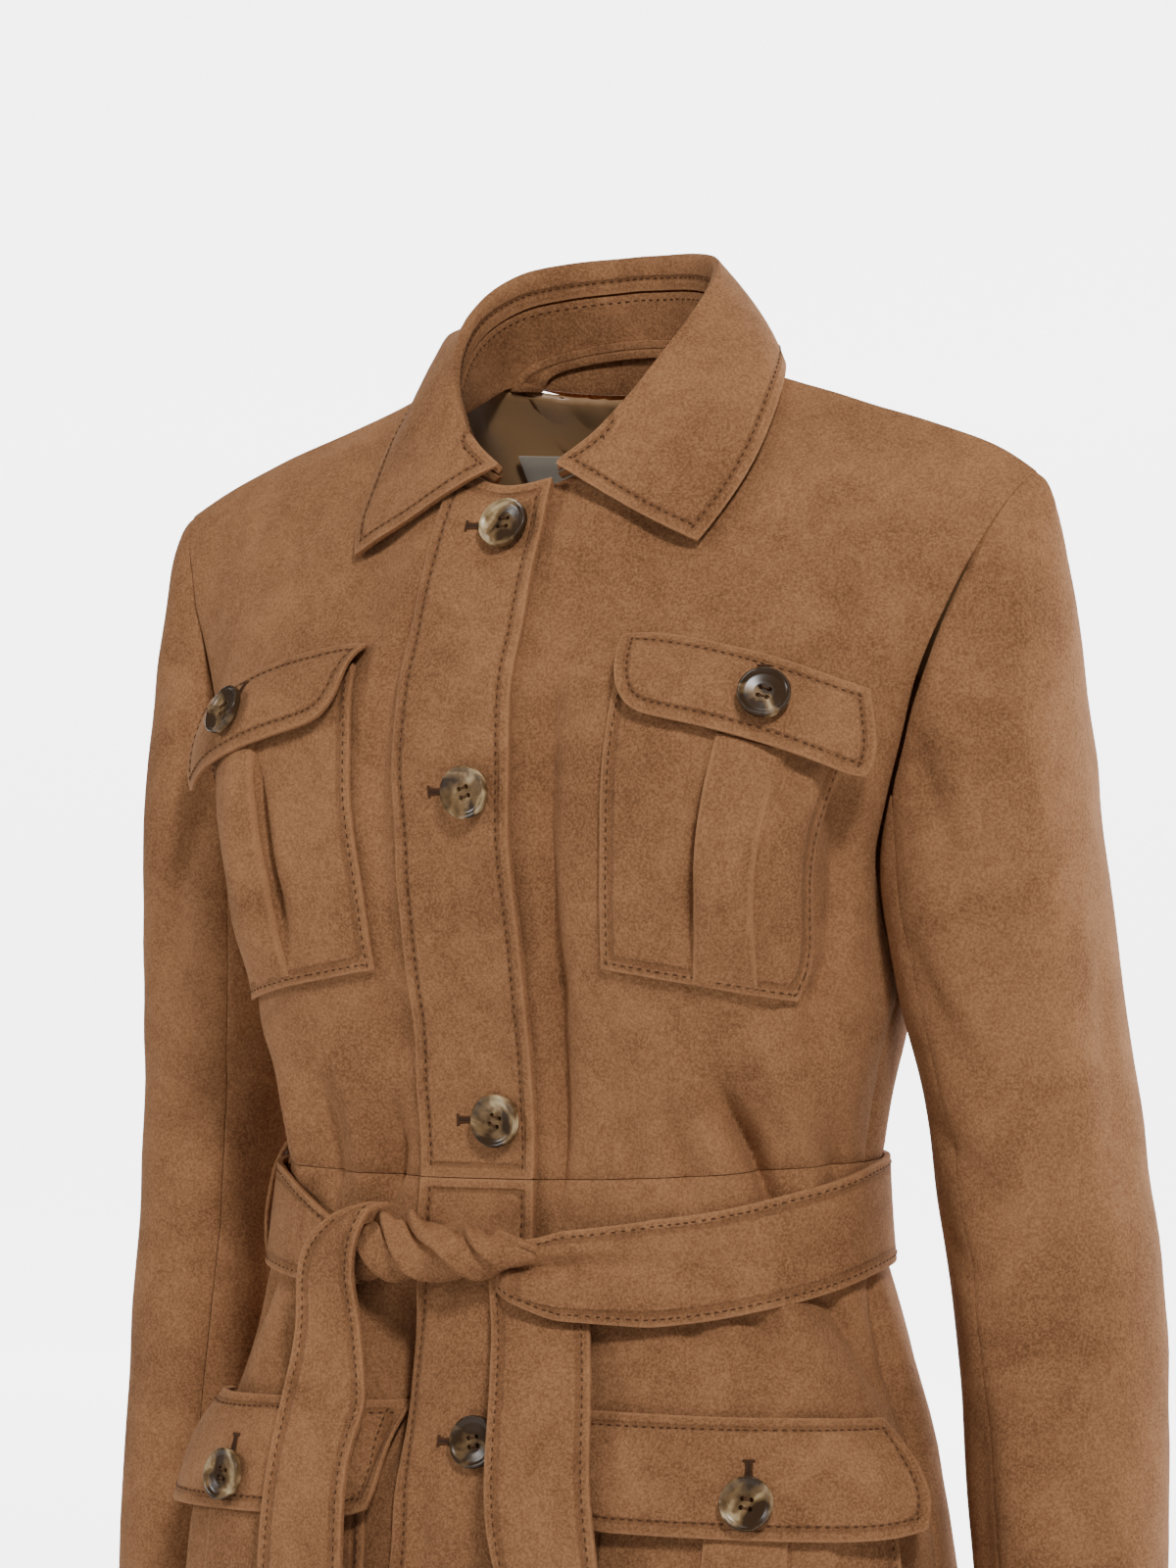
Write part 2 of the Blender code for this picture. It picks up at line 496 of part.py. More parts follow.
class Panel:
    """Half of the front or of the back, as a smooth surface read by column and height station."""

    def __init__(self, sections, y_top, z_top, rises, folds, outward):
        self.rows = [section_row(s) for s in sections]
        self.stations = [s.station for s in sections]
        self.top = top_row(y_top, z_top)
        self.rises = rises
        self.folds = folds
        self.outward = outward
        self.rise_steps = np.linspace(0, 1, 7)[1:]
        chest = self.stations[-1]
        self.stations += [chest + v * (TOP_STATION - chest) for v in self.rise_steps]

    def columns(self, u):
        """The points of every row at columns u, as rows x columns x 3."""
        u = np.asarray(u, float)
        lines = [row.at(u) for row in self.rows]
        low = lines[-1]
        high = self.top.at(u)
        knots = [r.u for r in self.rises]
        away = np.abs(u)
        pull_low = np.stack([np.interp(away, knots, [r.low[k] for r in self.rises]) for k in range(3)], -1)
        pull_high = np.stack([np.interp(away, knots, [r.high[k] for r in self.rises]) for k in range(3)], -1)
        side = np.where(u < 0, -1.0, 1.0)
        pull_low[..., 0] *= side
        pull_high[..., 0] *= side
        for v in self.rise_steps:
            lines.append(
                (2 * v**3 - 3 * v**2 + 1) * low
                + (v**3 - 2 * v**2 + v) * pull_low
                + (-2 * v**3 + 3 * v**2) * high
                + (v**3 - v**2) * pull_high
            )
        return np.stack(lines)

    def base(self, u, station):
        """Points of the undisturbed surface at paired columns and stations."""
        u, station = np.broadcast_arrays(np.asarray(u, float), np.asarray(station, float))
        lines = self.columns(u.ravel())
        found = across_rows(self.stations, lines, station.ravel())
        return found.reshape(u.shape + (3,))

    def normals(self, place, u, station):
        """Outward directions of a surface function by small steps."""
        du, ds = 0.0015, 0.0015
        low = np.clip(station - ds, self.stations[0], TOP_STATION)
        high = np.clip(station + ds, self.stations[0], TOP_STATION)
        u_low = np.minimum(u - du, EDGE_U - 2 * du)
        u_high = np.minimum(u + du, EDGE_U)
        across = place(u_high, station) - place(u_low, station)
        along = place(u, high) - place(u, low)
        return unit(np.cross(along, across)) * self.outward

    def crease(self, points, side):
        """How far the folds move the surface out, at points of the half with x positive."""
        total = np.zeros(points.shape[:-1])
        for fold in self.folds:
            if fold.side != side:
                continue
            start = np.array([fold.x_start, fold.z_start])
            line = np.array([fold.x_end, fold.z_end]) - start
            length = np.linalg.norm(line)
            line = line / length
            offset = points[..., [0, 2]] - start
            along = (offset @ line) / length
            off = offset[..., 0] * line[1] - offset[..., 1] * line[0]
            fade = smooth_step(-0.25, 0.25, along) * (1 - smooth_step(0.75, 1.25, along))
            total += fold.height * fade * np.exp(-((off / fold.width) ** 2))
        return total

    def dressed(self, side):
        """The surface with its folds, for one side of the jacket, in place."""

        def place(u, station):
            points = self.base(u, station)
            direction = self.normals(self.base, u, station)
            calm = 1 - smooth_step(0.93 * EDGE_U, 0.995 * EDGE_U, u)
            belt = 1 - 0.85 * np.exp(-(((points[..., 2] + 0.325) / 0.024) ** 2))
            amount = self.crease(points, side) * calm * belt
            if side == RIGHT and self.outward < 0:
                amount = amount + LAP_LIFT * (1 - smooth_step(0.020, 0.060, u))
            moved = points + direction * amount[..., None]
            moved[..., 0] *= side
            return moved

        return place

    def outward_of(self, side):
        place = self.dressed(side)

        def direction(u, station):
            return self.normals(place, u, station) * side

        return direction


FRONT = Panel(FRONT_SECTIONS, NECK_FRONT_Y, NECK_FRONT_Z, FRONT_RISE, FRONT_FOLDS, -1)
BACK = Panel(BACK_SECTIONS, NECK_BACK_Y, NECK_BACK_Z, BACK_RISE, BACK_FOLDS, 1)
WAIST_STATION = -0.297
ARM_STATION = -0.200


def station_lines():
    """Heights of the panels' grid lines: skirt, waist to underarm, and underarm to shoulder."""
    low = np.linspace(-0.640, -0.394, LOW_STATIONS - 2)
    low = np.concatenate([low, [-0.362, -0.328, WAIST_STATION]])
    mid = np.linspace(WAIST_STATION, ARM_STATION, MID_STATIONS + 1)
    arm = np.linspace(ARM_STATION, TOP_STATION, ARM_STATIONS + 1)
    return low, mid, arm


def surface_grid(panel, side, columns, stations):
    u, station = np.meshgrid(np.asarray(columns, float), np.asarray(stations, float))
    return panel.dressed(side)(u, station), panel.outward_of(side)(u, station)


def parted(grid, amount):
    """A grid whose four edges are pulled in along the surface, to leave room at the seams."""
    moved = grid.copy()
    moved[0] += unit(grid[1] - grid[0]) * amount
    moved[-1] += unit(grid[-2] - grid[-1]) * amount
    moved[:, 0] += unit(grid[:, 1] - grid[:, 0]) * amount
    moved[:, -1] += unit(grid[:, -2] - grid[:, -1]) * amount
    return moved


def inside_of(points, index):
    """The direction from a rim point into its own piece."""
    step = [1 if at == 0 else (-1 if at == count - 1 else 0) for at, count in zip(index, points.shape)]
    return unit(points[index[0] + step[0], index[1] + step[1]] - points[index])


def share_normals(panels):
    """Pieces that meet at a ridge lean the same way there, so that their walls meet in a mitre."""
    met = {}
    for name, (points, normals) in panels.items():
        rows, columns = points.shape[:2]
        for index in np.ndindex(rows, columns):
            if 0 < index[0] < rows - 1 and 0 < index[1] < columns - 1:
                continue
            key = tuple(np.round(points[index] / 5e-5).astype(int))
            met.setdefault(key, []).append((name, index))
    own = {name: normals.copy() for name, (points, normals) in panels.items()}
    for places in met.values():
        for name, index in places:
            total = own[name][index].copy()
            inside = inside_of(panels[name][0], index)
            for other, there in places:
                if (other, there) != (name, index):
                    theirs = own[other][there]
                    total = total + theirs * (1 - smooth_step(0.02, 0.22, float(theirs @ inside)))
            panels[name][1][index] = unit(total)


def wall_faces(rows, columns):
    """Faces of a closed wall whose outer grid comes first and inner grid second."""
    count = rows * columns
    faces = []
    for r in range(rows - 1):
        for c in range(columns - 1):
            a, b = r * columns + c, r * columns + c + 1
            d, e = a + columns, b + columns
            faces.append((a, b, e, d))
            faces.append((a + count, d + count, e + count, b + count))
    rim = [c for c in range(columns)]
    rim += [r * columns + columns - 1 for r in range(1, rows)]
    rim += [(rows - 1) * columns + c for c in range(columns - 2, -1, -1)]
    rim += [r * columns for r in range(rows - 2, 0, -1)]
    for i, a in enumerate(rim):
        b = rim[(i + 1) % len(rim)]
        faces.append((b, a, a + count, b + count))
    return faces


def add_wall(name, outer, inner, finish):
    rows, columns = outer.shape[:2]
    points = np.concatenate([outer.reshape(-1, 3), inner.reshape(-1, 3)])
    return add_mesh(name, points, wall_faces(rows, columns), finish)


def tree_of(names):
    """One search tree over the finished solids named."""
    points, faces = [], []
    for name in names:
        mesh = bpy.data.objects[name].data
        start = len(points)
        points += [v.co.copy() for v in mesh.vertices]
        faces += [tuple(start + i for i in p.vertices) for p in mesh.polygons]
    return BVHTree.FromPolygons(points, faces)


def height_over(tree, point, way, reach):
    """How far the solids stand above a point, looking back along a direction."""
    way = Vector(way).normalized()
    start = Vector(point) + way * reach
    found = tree.ray_cast(start, -way, 2 * reach)
    return -reach if found[0] is None else reach - found[3]


def laid_over(grid, ways, tree, gap=LAYER_GAP, reach=0.012, passes=9):
    """A grid lifted along its directions just enough to lie over the solids beneath it."""
    grid = grid.copy()
    steps = np.linspace(0.0, 1.0, 5)
    shares = [(v, w) for v in steps for w in steps]
    for _ in range(passes):
        raise_by = np.zeros(grid.shape[:2])
        for r in range(grid.shape[0] - 1):
            for c in range(grid.shape[1] - 1):
                for v, w in shares:
                    weights = ((1 - v) * (1 - w), (1 - v) * w, v * (1 - w), v * w)
                    corners = ((r, c), (r, c + 1), (r + 1, c), (r + 1, c + 1))
                    point = sum(k * grid[at] for k, at in zip(weights, corners))
                    way = sum(k * ways[at] for k, at in zip(weights, corners))
                    lack = height_over(tree, point, way, reach) + gap
                    if lack <= 0:
                        continue
                    for k, at in zip(weights, corners):
                        if k > 0.2:
                            raise_by[at] = max(raise_by[at], lack)
        if raise_by.max() < 1e-6:
            break
        grid += ways * raise_by[..., None]
    return grid


def pushed_clear(points, ways_out, samples, directions, need):
    """Points moved off a sampled surface until each stands at least its own need away."""
    moved = points.reshape(-1, 3).copy()
    wanted = np.broadcast_to(need, points.shape[:-1]).ravel()
    for i, point in enumerate(moved):
        near = int(np.argmin(np.sum((samples - point) ** 2, axis=1)))
        offset = point - samples[near]
        height = float(offset @ directions[near])
        if height < wanted[i] and np.linalg.norm(offset) < ways_out:
            moved[i] = point + directions[near] * (wanted[i] - height)
    return moved.reshape(points.shape)


def front_columns(first):
    """Columns of a front from its own edge at the closure to the side seam."""
    near = [0.0, 0.013, 0.026, PLACKET_INNER, 0.0575]
    shoulder = np.linspace(NECK_U, EDGE_U, SHOULDER_COLUMNS + 1)
    return np.concatenate([[first], near, shoulder])


def back_columns():
    half = np.concatenate([[0.0, 0.019, 0.038, 0.057], np.linspace(NECK_U, EDGE_U, SHOULDER_COLUMNS + 1)])
    return half


def back_grid(stations):
    """The whole back from the right edge over the centre to the left edge."""
    half = back_columns()
    left_points, left_normals = surface_grid(BACK, LEFT, half, stations)
    right_points, right_normals = surface_grid(BACK, RIGHT, half, stations)
    middle = 0.5 * (left_points[:, :1] + right_points[:, :1])
    middle[..., 0] = 0.0
    middle_normals = unit(left_normals[:, :1] + right_normals[:, :1])
    points = np.concatenate([right_points[:, :0:-1], middle, left_points[:, 1:]], axis=1)
    normals = np.concatenate([right_normals[:, :0:-1], middle_normals, left_normals[:, 1:]], axis=1)
    return points, normals


def body_panels():
    """Outer points and directions of the six pieces of the body."""
    low, mid, arm = station_lines()
    high = np.concatenate([mid, arm[1:]])
    panels = {
        "front_left_upper": surface_grid(FRONT, LEFT, front_columns(-UNDERLAP), high),
        "front_left_lower": surface_grid(FRONT, LEFT, front_columns(-UNDERLAP), low),
        "front_right_upper": surface_grid(FRONT, RIGHT, front_columns(-PLACKET_FREE + 0.001), high),
        "front_right_lower": surface_grid(FRONT, RIGHT, front_columns(-PLACKET_FREE + 0.001), low),
        "back_upper": back_grid(high),
        "back_lower": back_grid(low),
    }
    # The side seams are one line: the back takes the fronts' points below the underarm.
    for level, count in (("upper", len(mid)), ("lower", len(low))):
        panels[f"back_{level}"][0][:count, 0] = panels[f"front_right_{level}"][0][:count, -1]
        panels[f"back_{level}"][0][:count, -1] = panels[f"front_left_{level}"][0][:count, -1]
    top = panels["back_upper"][0][-1]
    top[-1 - SHOULDER_COLUMNS :] = panels["front_left_upper"][0][-1, -1 - SHOULDER_COLUMNS :]
    top[: SHOULDER_COLUMNS + 1] = panels["front_right_upper"][0][-1, : -2 - SHOULDER_COLUMNS : -1]
    return panels


def sleeve_turns(station):
    """The turn of each sleeve column round the arm, top over front to underarm and back up."""
    at = (station - SLEEVE_RINGS[0].station) / (SLEEVE_RINGS[-1].station - SLEEVE_RINGS[0].station)
    at = min(max(at, 0.0), 1.0)
    fore = FOREARM_SEAM_TOP + (FOREARM_SEAM_CUFF - FOREARM_SEAM_TOP) * at
    hind = HIND_SEAM_TOP + (HIND_SEAM_CUFF - HIND_SEAM_TOP) * at
    over = ARM_STATIONS - 4
    front = np.concatenate([np.linspace(0, fore, over + 1), np.linspace(fore, 180, 5)[1:]])
    back = np.concatenate([np.linspace(180, hind, 5)[1:], np.linspace(hind, 0, over + 1)[1:-1]])
    return np.concatenate([-front, -(360 - back)])


def arm_crease(side, turn, z, radius):
    total = np.zeros(np.shape(turn))
    for fold in ARM_FOLDS:
        if fold.side != side:
            continue
        off = np.abs((turn - fold.turn + 180.0) % 360.0 - 180.0)
        across = np.radians(off) * radius
        along = (z - fold.z_start) / (fold.z_end - fold.z_start)
        fade = smooth_step(-0.1, 0.3, along) * (1 - smooth_step(0.7, 1.1, along))
        total += fold.height * fade * np.exp(-((across / fold.width) ** 2))
    return total


def sleeve_ring(side, station):
    """One full ring of the arm below the cap, with its directions."""
    stations = [r.station for r in SLEEVE_RINGS]
    values = through(stations, [r[2:] for r in SLEEVE_RINGS], station)[0]
    x, y, z, half_width, half_depth, tilt = values
    turn = sleeve_turns(station)
    angle = np.radians(turn)
    points = np.column_stack(
        [x + half_width * np.cos(angle), y + half_depth * np.sin(angle), z + tilt * np.cos(angle)]
    )
    across = np.column_stack([np.cos(angle) / half_width, np.sin(angle) / half_depth, 0 * angle])
    points += unit(across) * arm_crease(side, turn, points[:, 2], 0.05)[:, None]
    points[:, 0] *= side
    return points


def cap_pull(side, turn):
    knots = [-p.turn for p in CAP_PULLS]
    away = np.abs((turn + 180.0) % 360.0 - 180.0)
    behind = ((turn + 360.0) % 360.0) < 180.0
    pull = np.stack([np.interp(away, knots, [p.strength[k] for p in CAP_PULLS]) for k in range(3)], -1)
    pull[:, 1] *= np.where(behind, -1.0, 1.0)
    pull[:, 0] *= side
    return pull


def sleeve_grid(side, armhole):
    """Rings of a whole sleeve from the armhole to the cuff."""
    turn = sleeve_turns(0.0)
    first = sleeve_ring(side, 1.0)
    second = sleeve_ring(side, 1.35)
    falling = unit(second - first) * np.linalg.norm(first - armhole, axis=1)[:, None]
    rings = []
    for v in (0.0, 0.12, 0.27, 0.45, 0.64, 0.83):
        rings.append(
            (2 * v**3 - 3 * v**2 + 1) * armhole
            + (v**3 - 2 * v**2 + v) * cap_pull(side, turn)
            + (-2 * v**3 + 3 * v**2) * first
            + (v**3 - v**2) * falling
        )
    for station in np.linspace(1.0, 7.0, 12):
        rings.append(sleeve_ring(side, station))
    return np.stack(rings)


def ring_normals(grid):
    """Outward directions of a grid whose columns close round."""
    across = np.roll(grid, -1, axis=1) - np.roll(grid, 1, axis=1)
    along = np.empty_like(grid)
    along[1:-1] = grid[2:] - grid[:-2]
    along[0] = grid[1] - grid[0]
    along[-1] = grid[-1] - grid[-2]
    found = unit(np.cross(across, along))
    centre = grid.mean(axis=1, keepdims=True)
    sign = np.sign(np.sum(found[8:] * (grid - centre)[8:]))
    return found * sign


def armhole_of(panels, side):
    """The armhole's points, from the shoulder point down the front and up the back."""
    count = ARM_STATIONS + 1
    name = "left" if side == LEFT else "right"
    front = panels[f"front_{name}_upper"][0][-count:, -1][::-1]
    back = panels["back_upper"][0][-count:, -1 if side == LEFT else 0]
    return np.concatenate([front, back[1:-1]])


def side_samples(side):
    """The body's surface near the underarm, as points with directions."""
    found = []
    for panel in (FRONT, BACK):
        u, station = np.meshgrid(np.linspace(0.10, EDGE_U, 41), np.linspace(-0.30, -0.15, 61))
        places = panel.dressed(side)(u, station).reshape(-1, 3)
        ways = panel.outward_of(side)(u, station).reshape(-1, 3)
        found.append((places, ways))
    return np.concatenate([f[0] for f in found]), np.concatenate([f[1] for f in found])


def add_body():
    panels = body_panels()
    over = ARM_STATIONS - 4
    for side, name in ((LEFT, "left"), (RIGHT, "right")):
        grid = sleeve_grid(side, armhole_of(panels, side))
        samples, directions = side_samples(side)
        need = np.minimum(0.0016, 0.0008 * np.arange(1, len(grid)))[:, None]
        low = grid[1:, :, 2] < -0.150
        pushed = pushed_clear(grid[1:], 0.03, samples, directions, need)
        grid[1:] = np.where(low[..., None], pushed, grid[1:])
        normals = ring_normals(grid)
        total = grid.shape[1]
        under = list(range(over, over + 9))
        upper = list(range(over + 8, total)) + list(range(0, over + 1))
        panels[f"sleeve_{name}_under"] = (grid[:, under], normals[:, under])
        panels[f"sleeve_{name}_upper"] = (grid[:, upper], normals[:, upper])
    share_normals(panels)
    for name, (points, normals) in panels.items():
        wall = SLEEVE_WALL if name.startswith("sleeve") else BODY_WALL
        outer = parted(points, SEAM_GAP / 2)
        add_wall(name, outer, outer - normals * wall, SUEDE)
    return panels


def front_place(side, x, z):
    """Column and station on a front where it shows the place x, z seen from the front (x from the centre)."""
    x = np.asarray(x, float)
    z = np.asarray(z, float)
    u = np.clip(x * 1.08, -UNDERLAP, EDGE_U * 0.98)
    station = np.clip(z - 0.01, -0.63, 0.0)
    place = FRONT.dressed(side)
    step = 0.0012
    for _ in range(14):
        here = place(u, station)
        gap_x = x - here[..., 0] * side
        gap_z = z - here[..., 2]
        by_u = (place(u + step, station) - here) / step
        by_s = (place(u, station + step) - here) / step
        a, b = by_u[..., 0] * side, by_s[..., 0] * side
        c, d = by_u[..., 2], by_s[..., 2]
        det = a * d - b * c
        det = np.where(np.abs(det) < 0.05, 0.05 * np.sign(det + 1e-9), det)
        u = np.clip(u + np.clip((d * gap_x - b * gap_z) / det, -0.02, 0.02), -UNDERLAP, EDGE_U - 0.004)
        station = np.clip(station + np.clip((a * gap_z - c * gap_x) / det, -0.02, 0.02), -0.638, 0.026)
    return u, station


def front_surface(side, x, z):
    u, station = front_place(side, x, z)
    return FRONT.dressed(side)(u, station), FRONT.outward_of(side)(u, station)


def patch_surface(patch, side, a, d):
    """The front's surface inside a patch: a goes from its inner to its outer edge, d down from its top."""
    corners = (patch.in_top, patch.out_top, patch.in_low, patch.out_low)
    shares = ((1 - a) * (1 - d), a * (1 - d), (1 - a) * d, a * d)
    u = sum(share * corner.u for share, corner in zip(shares, corners))
    station = sum(share * corner.station for share, corner in zip(shares, corners))
    return FRONT.dressed(side)(u, station), FRONT.outward_of(side)(u, station)


def pocket_lift(a, d, pleat, puff):
    """How far the pocket stands off its panel: sewn down at sides and bottom, pleated between."""
    flat = LAYER_GAP + POCKET_WALL
    hold = np.minimum(smooth_step(0.0, 0.30, a), smooth_step(0.0, 0.22, 1.0 - a))
    hold = np.minimum(hold, smooth_step(0.0, 0.35, 1.0 - d)) * (0.3 + 0.7 * smooth_step(0.05, 0.35, d))
    raised = pleat.height * smooth_step(-0.02, 0.05, 1.0 - d)
    strip = (a > pleat.start + 1e-6) & (a < pleat.end - 1e-6)
    return flat + puff * hold + np.where(strip, raised, 0.0)


def pocket_columns(pleat):
    edge = 0.022
    inner = np.linspace(0.0, pleat.start, 4)
    outer = np.linspace(pleat.end, 1.0, 4 if pleat.end < 0.7 else 3)
    middle = 0.5 * (pleat.start + pleat.end)
    return np.concatenate([inner, [pleat.start + edge, middle, pleat.end - edge], outer])


def add_pocket(patch, pleat, side, name, rows, puff, under):
    columns = pocket_columns(pleat)
    a, d = np.meshgrid(columns, np.linspace(0, 1, rows))
    points, normals = patch_surface(patch, side, a, d)
    lift = pocket_lift(a, d, pleat, puff) - POCKET_WALL
    inner = laid_over(points + normals * lift[..., None], normals, tree_of(under), gap=0.0010)
    add_wall(name, inner + normals * POCKET_WALL, inner, SUEDE)


def flap_lift(a, d, corner):
    """The flap is sewn down along its top and lies over the pocket, its outer corner standing away."""
    over = smooth_step(0.0, 0.45, d)
    return LAYER_GAP + 0.0062 * over + corner * smooth_step(0.45, 1.0, a) * smooth_step(0.2, 1.0, d)


def flap_outline(a, d, round_share):
    """Down share of a flap whose two lower corners are rounded."""
    side = np.minimum(a, 1.0 - a) / round_share
    cut = 1.0 - np.sqrt(np.clip(1.0 - (1.0 - np.clip(side, 0, 1)) ** 2, 0, 1))
    return d * (1.0 - 0.30 * cut)


def add_flap(patch, side, name, corner, under):
    across = np.array([0.0, 0.04, 0.12, 0.26, 0.42, 0.58, 0.74, 0.88, 0.96, 1.0])
    down = np.array([0.0, 0.28, 0.62, 1.0])
    a, d = np.meshgrid(across, down)
    points, normals = patch_surface(patch, side, a, flap_outline(a, d, 0.11))
    inner = points + normals * flap_lift(a, d, corner)[..., None]
    inner = laid_over(inner, normals, tree_of(under), gap=0.0013)
    add_wall(name, inner + normals * FLAP_WALL, inner, SUEDE)


def add_placket():
    """The closing band on the right front, made from that front's points moved out."""
    low, mid, arm = station_lines()
    high = np.concatenate([mid, arm[1:]])
    columns = [-PLACKET_FREE, 0.0, 0.013, 0.026, PLACKET_INNER - 0.0005]
    for name, stations in (("placket_upper", high), ("placket_lower", low)):
        points, normals = surface_grid(FRONT, RIGHT, columns, stations)
        inner = parted(points, SEAM_GAP / 2) + normals * LAYER_GAP
        add_wall(name, inner + normals * PLACKET_WALL, inner, SUEDE)


def button_seat(side, x, z, under):
    """Where a button lies flat on the cloth that shows at x, z."""
    ground, way = front_surface(side, np.array([[x]]), np.array([[z]]))
    tree = tree_of(under)
    way = Vector(way[0, 0])
    across = way.cross(Vector((0, 0, 1))).normalized()
    down = way.cross(across)
    reach = 0.025
    spots = []
    for i in range(8):
        turn = math.tau * i / 8
        spot = Vector(ground[0, 0]) + 0.8 * BUTTON_RADIUS * (math.cos(turn) * across + math.sin(turn) * down)
        start = spot + way * reach
        found = tree.ray_cast(start, -way, 2 * reach)
        if found[0] is not None:
            spots.append(found[0])
    # The button leans with the cloth round its rim and stands clear of its highest place.
    centre = sum(spots, Vector()) / len(spots)
    lean = Vector()
    for a, b in zip(spots, spots[1:] + spots[:1]):
        lean += (a - centre).cross(b - centre)
    lean.normalize()
    lean = lean if lean.dot(way) > 0 else -lean
    shares = (0.0, 0.5, 1.0, 1.25)
    seats = [centre + (spot - centre) * share for spot in spots for share in shares]
    top = max(height_over(tree, seat, lean, 0.02) for seat in seats)
    return centre + lean * (top + 2 * LAYER_GAP), lean


def button_profile():
    """Half outline of a button, from the middle of its back to the middle of its face."""
    r, h = BUTTON_RADIUS, BUTTON_HEIGHT
    return ((0.62 * r, 0.0), (0.94 * r, 0.22 * h), (r, 0.60 * h), (0.88 * r, h), (0.66 * r, 0.72 * h))


def add_button(name, place, direction):
    profile = button_profile()
    frame = Vector(direction).to_track_quat("Z", "Y").to_matrix()
    points = []
    for radius, height in profile:
        for i in range(BUTTON_SIDES):
            turn = 2 * math.pi * i / BUTTON_SIDES
            local = Vector((radius * math.cos(turn), radius * math.sin(turn), height))
            points.append(Vector(place) + frame @ local)
    points.append(Vector(place))
    points.append(Vector(place) + frame @ Vector((0, 0, 0.66 * BUTTON_HEIGHT)))
    back, face = len(points) - 2, len(points) - 1
    last = (len(profile) - 1) * BUTTON_SIDES
    faces = []
    for i in range(BUTTON_SIDES):
        j = (i + 1) % BUTTON_SIDES
        faces.append((back, j, i))
        faces.append((face, last + i, last + j))
        for ring in range(len(profile) - 1):
            a = ring * BUTTON_SIDES
            faces.append((a + i, a + j, a + BUTTON_SIDES + j, a + BUTTON_SIDES + i))
    add_mesh(name, points, faces, HORN)


def ring_place(turns):
    """The roll seen from above, for the half with x positive, before it leans to one side."""
    angle = np.radians(turns)
    middle = 0.5 * (ROLL_FRONT_Y + ROLL_BACK_Y)
    depth = 0.5 * (ROLL_BACK_Y - ROLL_FRONT_Y)
    return np.column_stack([ROLL_HALF_WIDTH * np.sin(angle), middle - depth * np.cos(angle)])


def neck_points(panels):
    """The sewn neck edge, one point a column, from the collar's left end round to its right end."""
    left = panels["front_left_upper"][0][-1]
    right = panels["front_right_upper"][0][-1]
    back = panels["back_upper"][0][-1]
    first = 2
    last = len(left) - SHOULDER_COLUMNS
    left_end = 0.5 * (left[first : first + 1] + left[first + 1 : first + 2])
    behind = back[-2 - SHOULDER_COLUMNS : SHOULDER_COLUMNS : -1]
    points = np.concatenate([left_end, left[first + 1 : last], behind, right[last - 2 : first - 1 : -1]])
    middles = 0.5 * (points[1:] + points[:-1])
    whole = np.empty((2 * len(points) - 1, 3))
    whole[0::2] = points
    whole[1::2] = middles
    return whole


def collar_lines(panels):
    """For each column round the collar: neck seam, stand top, roll, leaf edge and outward direction."""
    seam = neck_points(panels)
    side = np.where(seam[:, 0] >= 0, 1.0, -1.0)
    middle = 0.5 * (NECK_FRONT_Y + NECK_BACK_Y)
    depth = 0.5 * (NECK_BACK_Y - NECK_FRONT_Y)
    turns = np.degrees(np.arctan2(np.abs(seam[:, 0]) / NECK_HALF_WIDTH, (middle - seam[:, 1]) / depth))
    first = np.where(side > 0, turns[0], turns[-1])
    ends = COLLAR_SECTIONS[0].turn
    turns = ends + (turns - first) * (180.0 - ends) / (180.0 - first)
    knots = [c.turn for c in COLLAR_SECTIONS]
    values = through(knots, [c[2:] for c in COLLAR_SECTIONS], turns)
    plan = ring_place(turns)
    lean = COLLAR_TURN * 0.5 * (1 + np.cos(np.radians(turns)))
    roll = np.column_stack([plan[:, 0] * side + lean, plan[:, 1], values[:, 1]])
    top = np.column_stack([roll[:, :2], values[:, 0]])
    edge = np.column_stack([values[:, 2] * side + values[:, 5], values[:, 3], values[:, 4]])
    away = np.column_stack([plan[:, 0] * side, plan[:, 1] - plan[:, 1].mean(), 0 * side])
    return seam, top, roll, edge, unit(away)


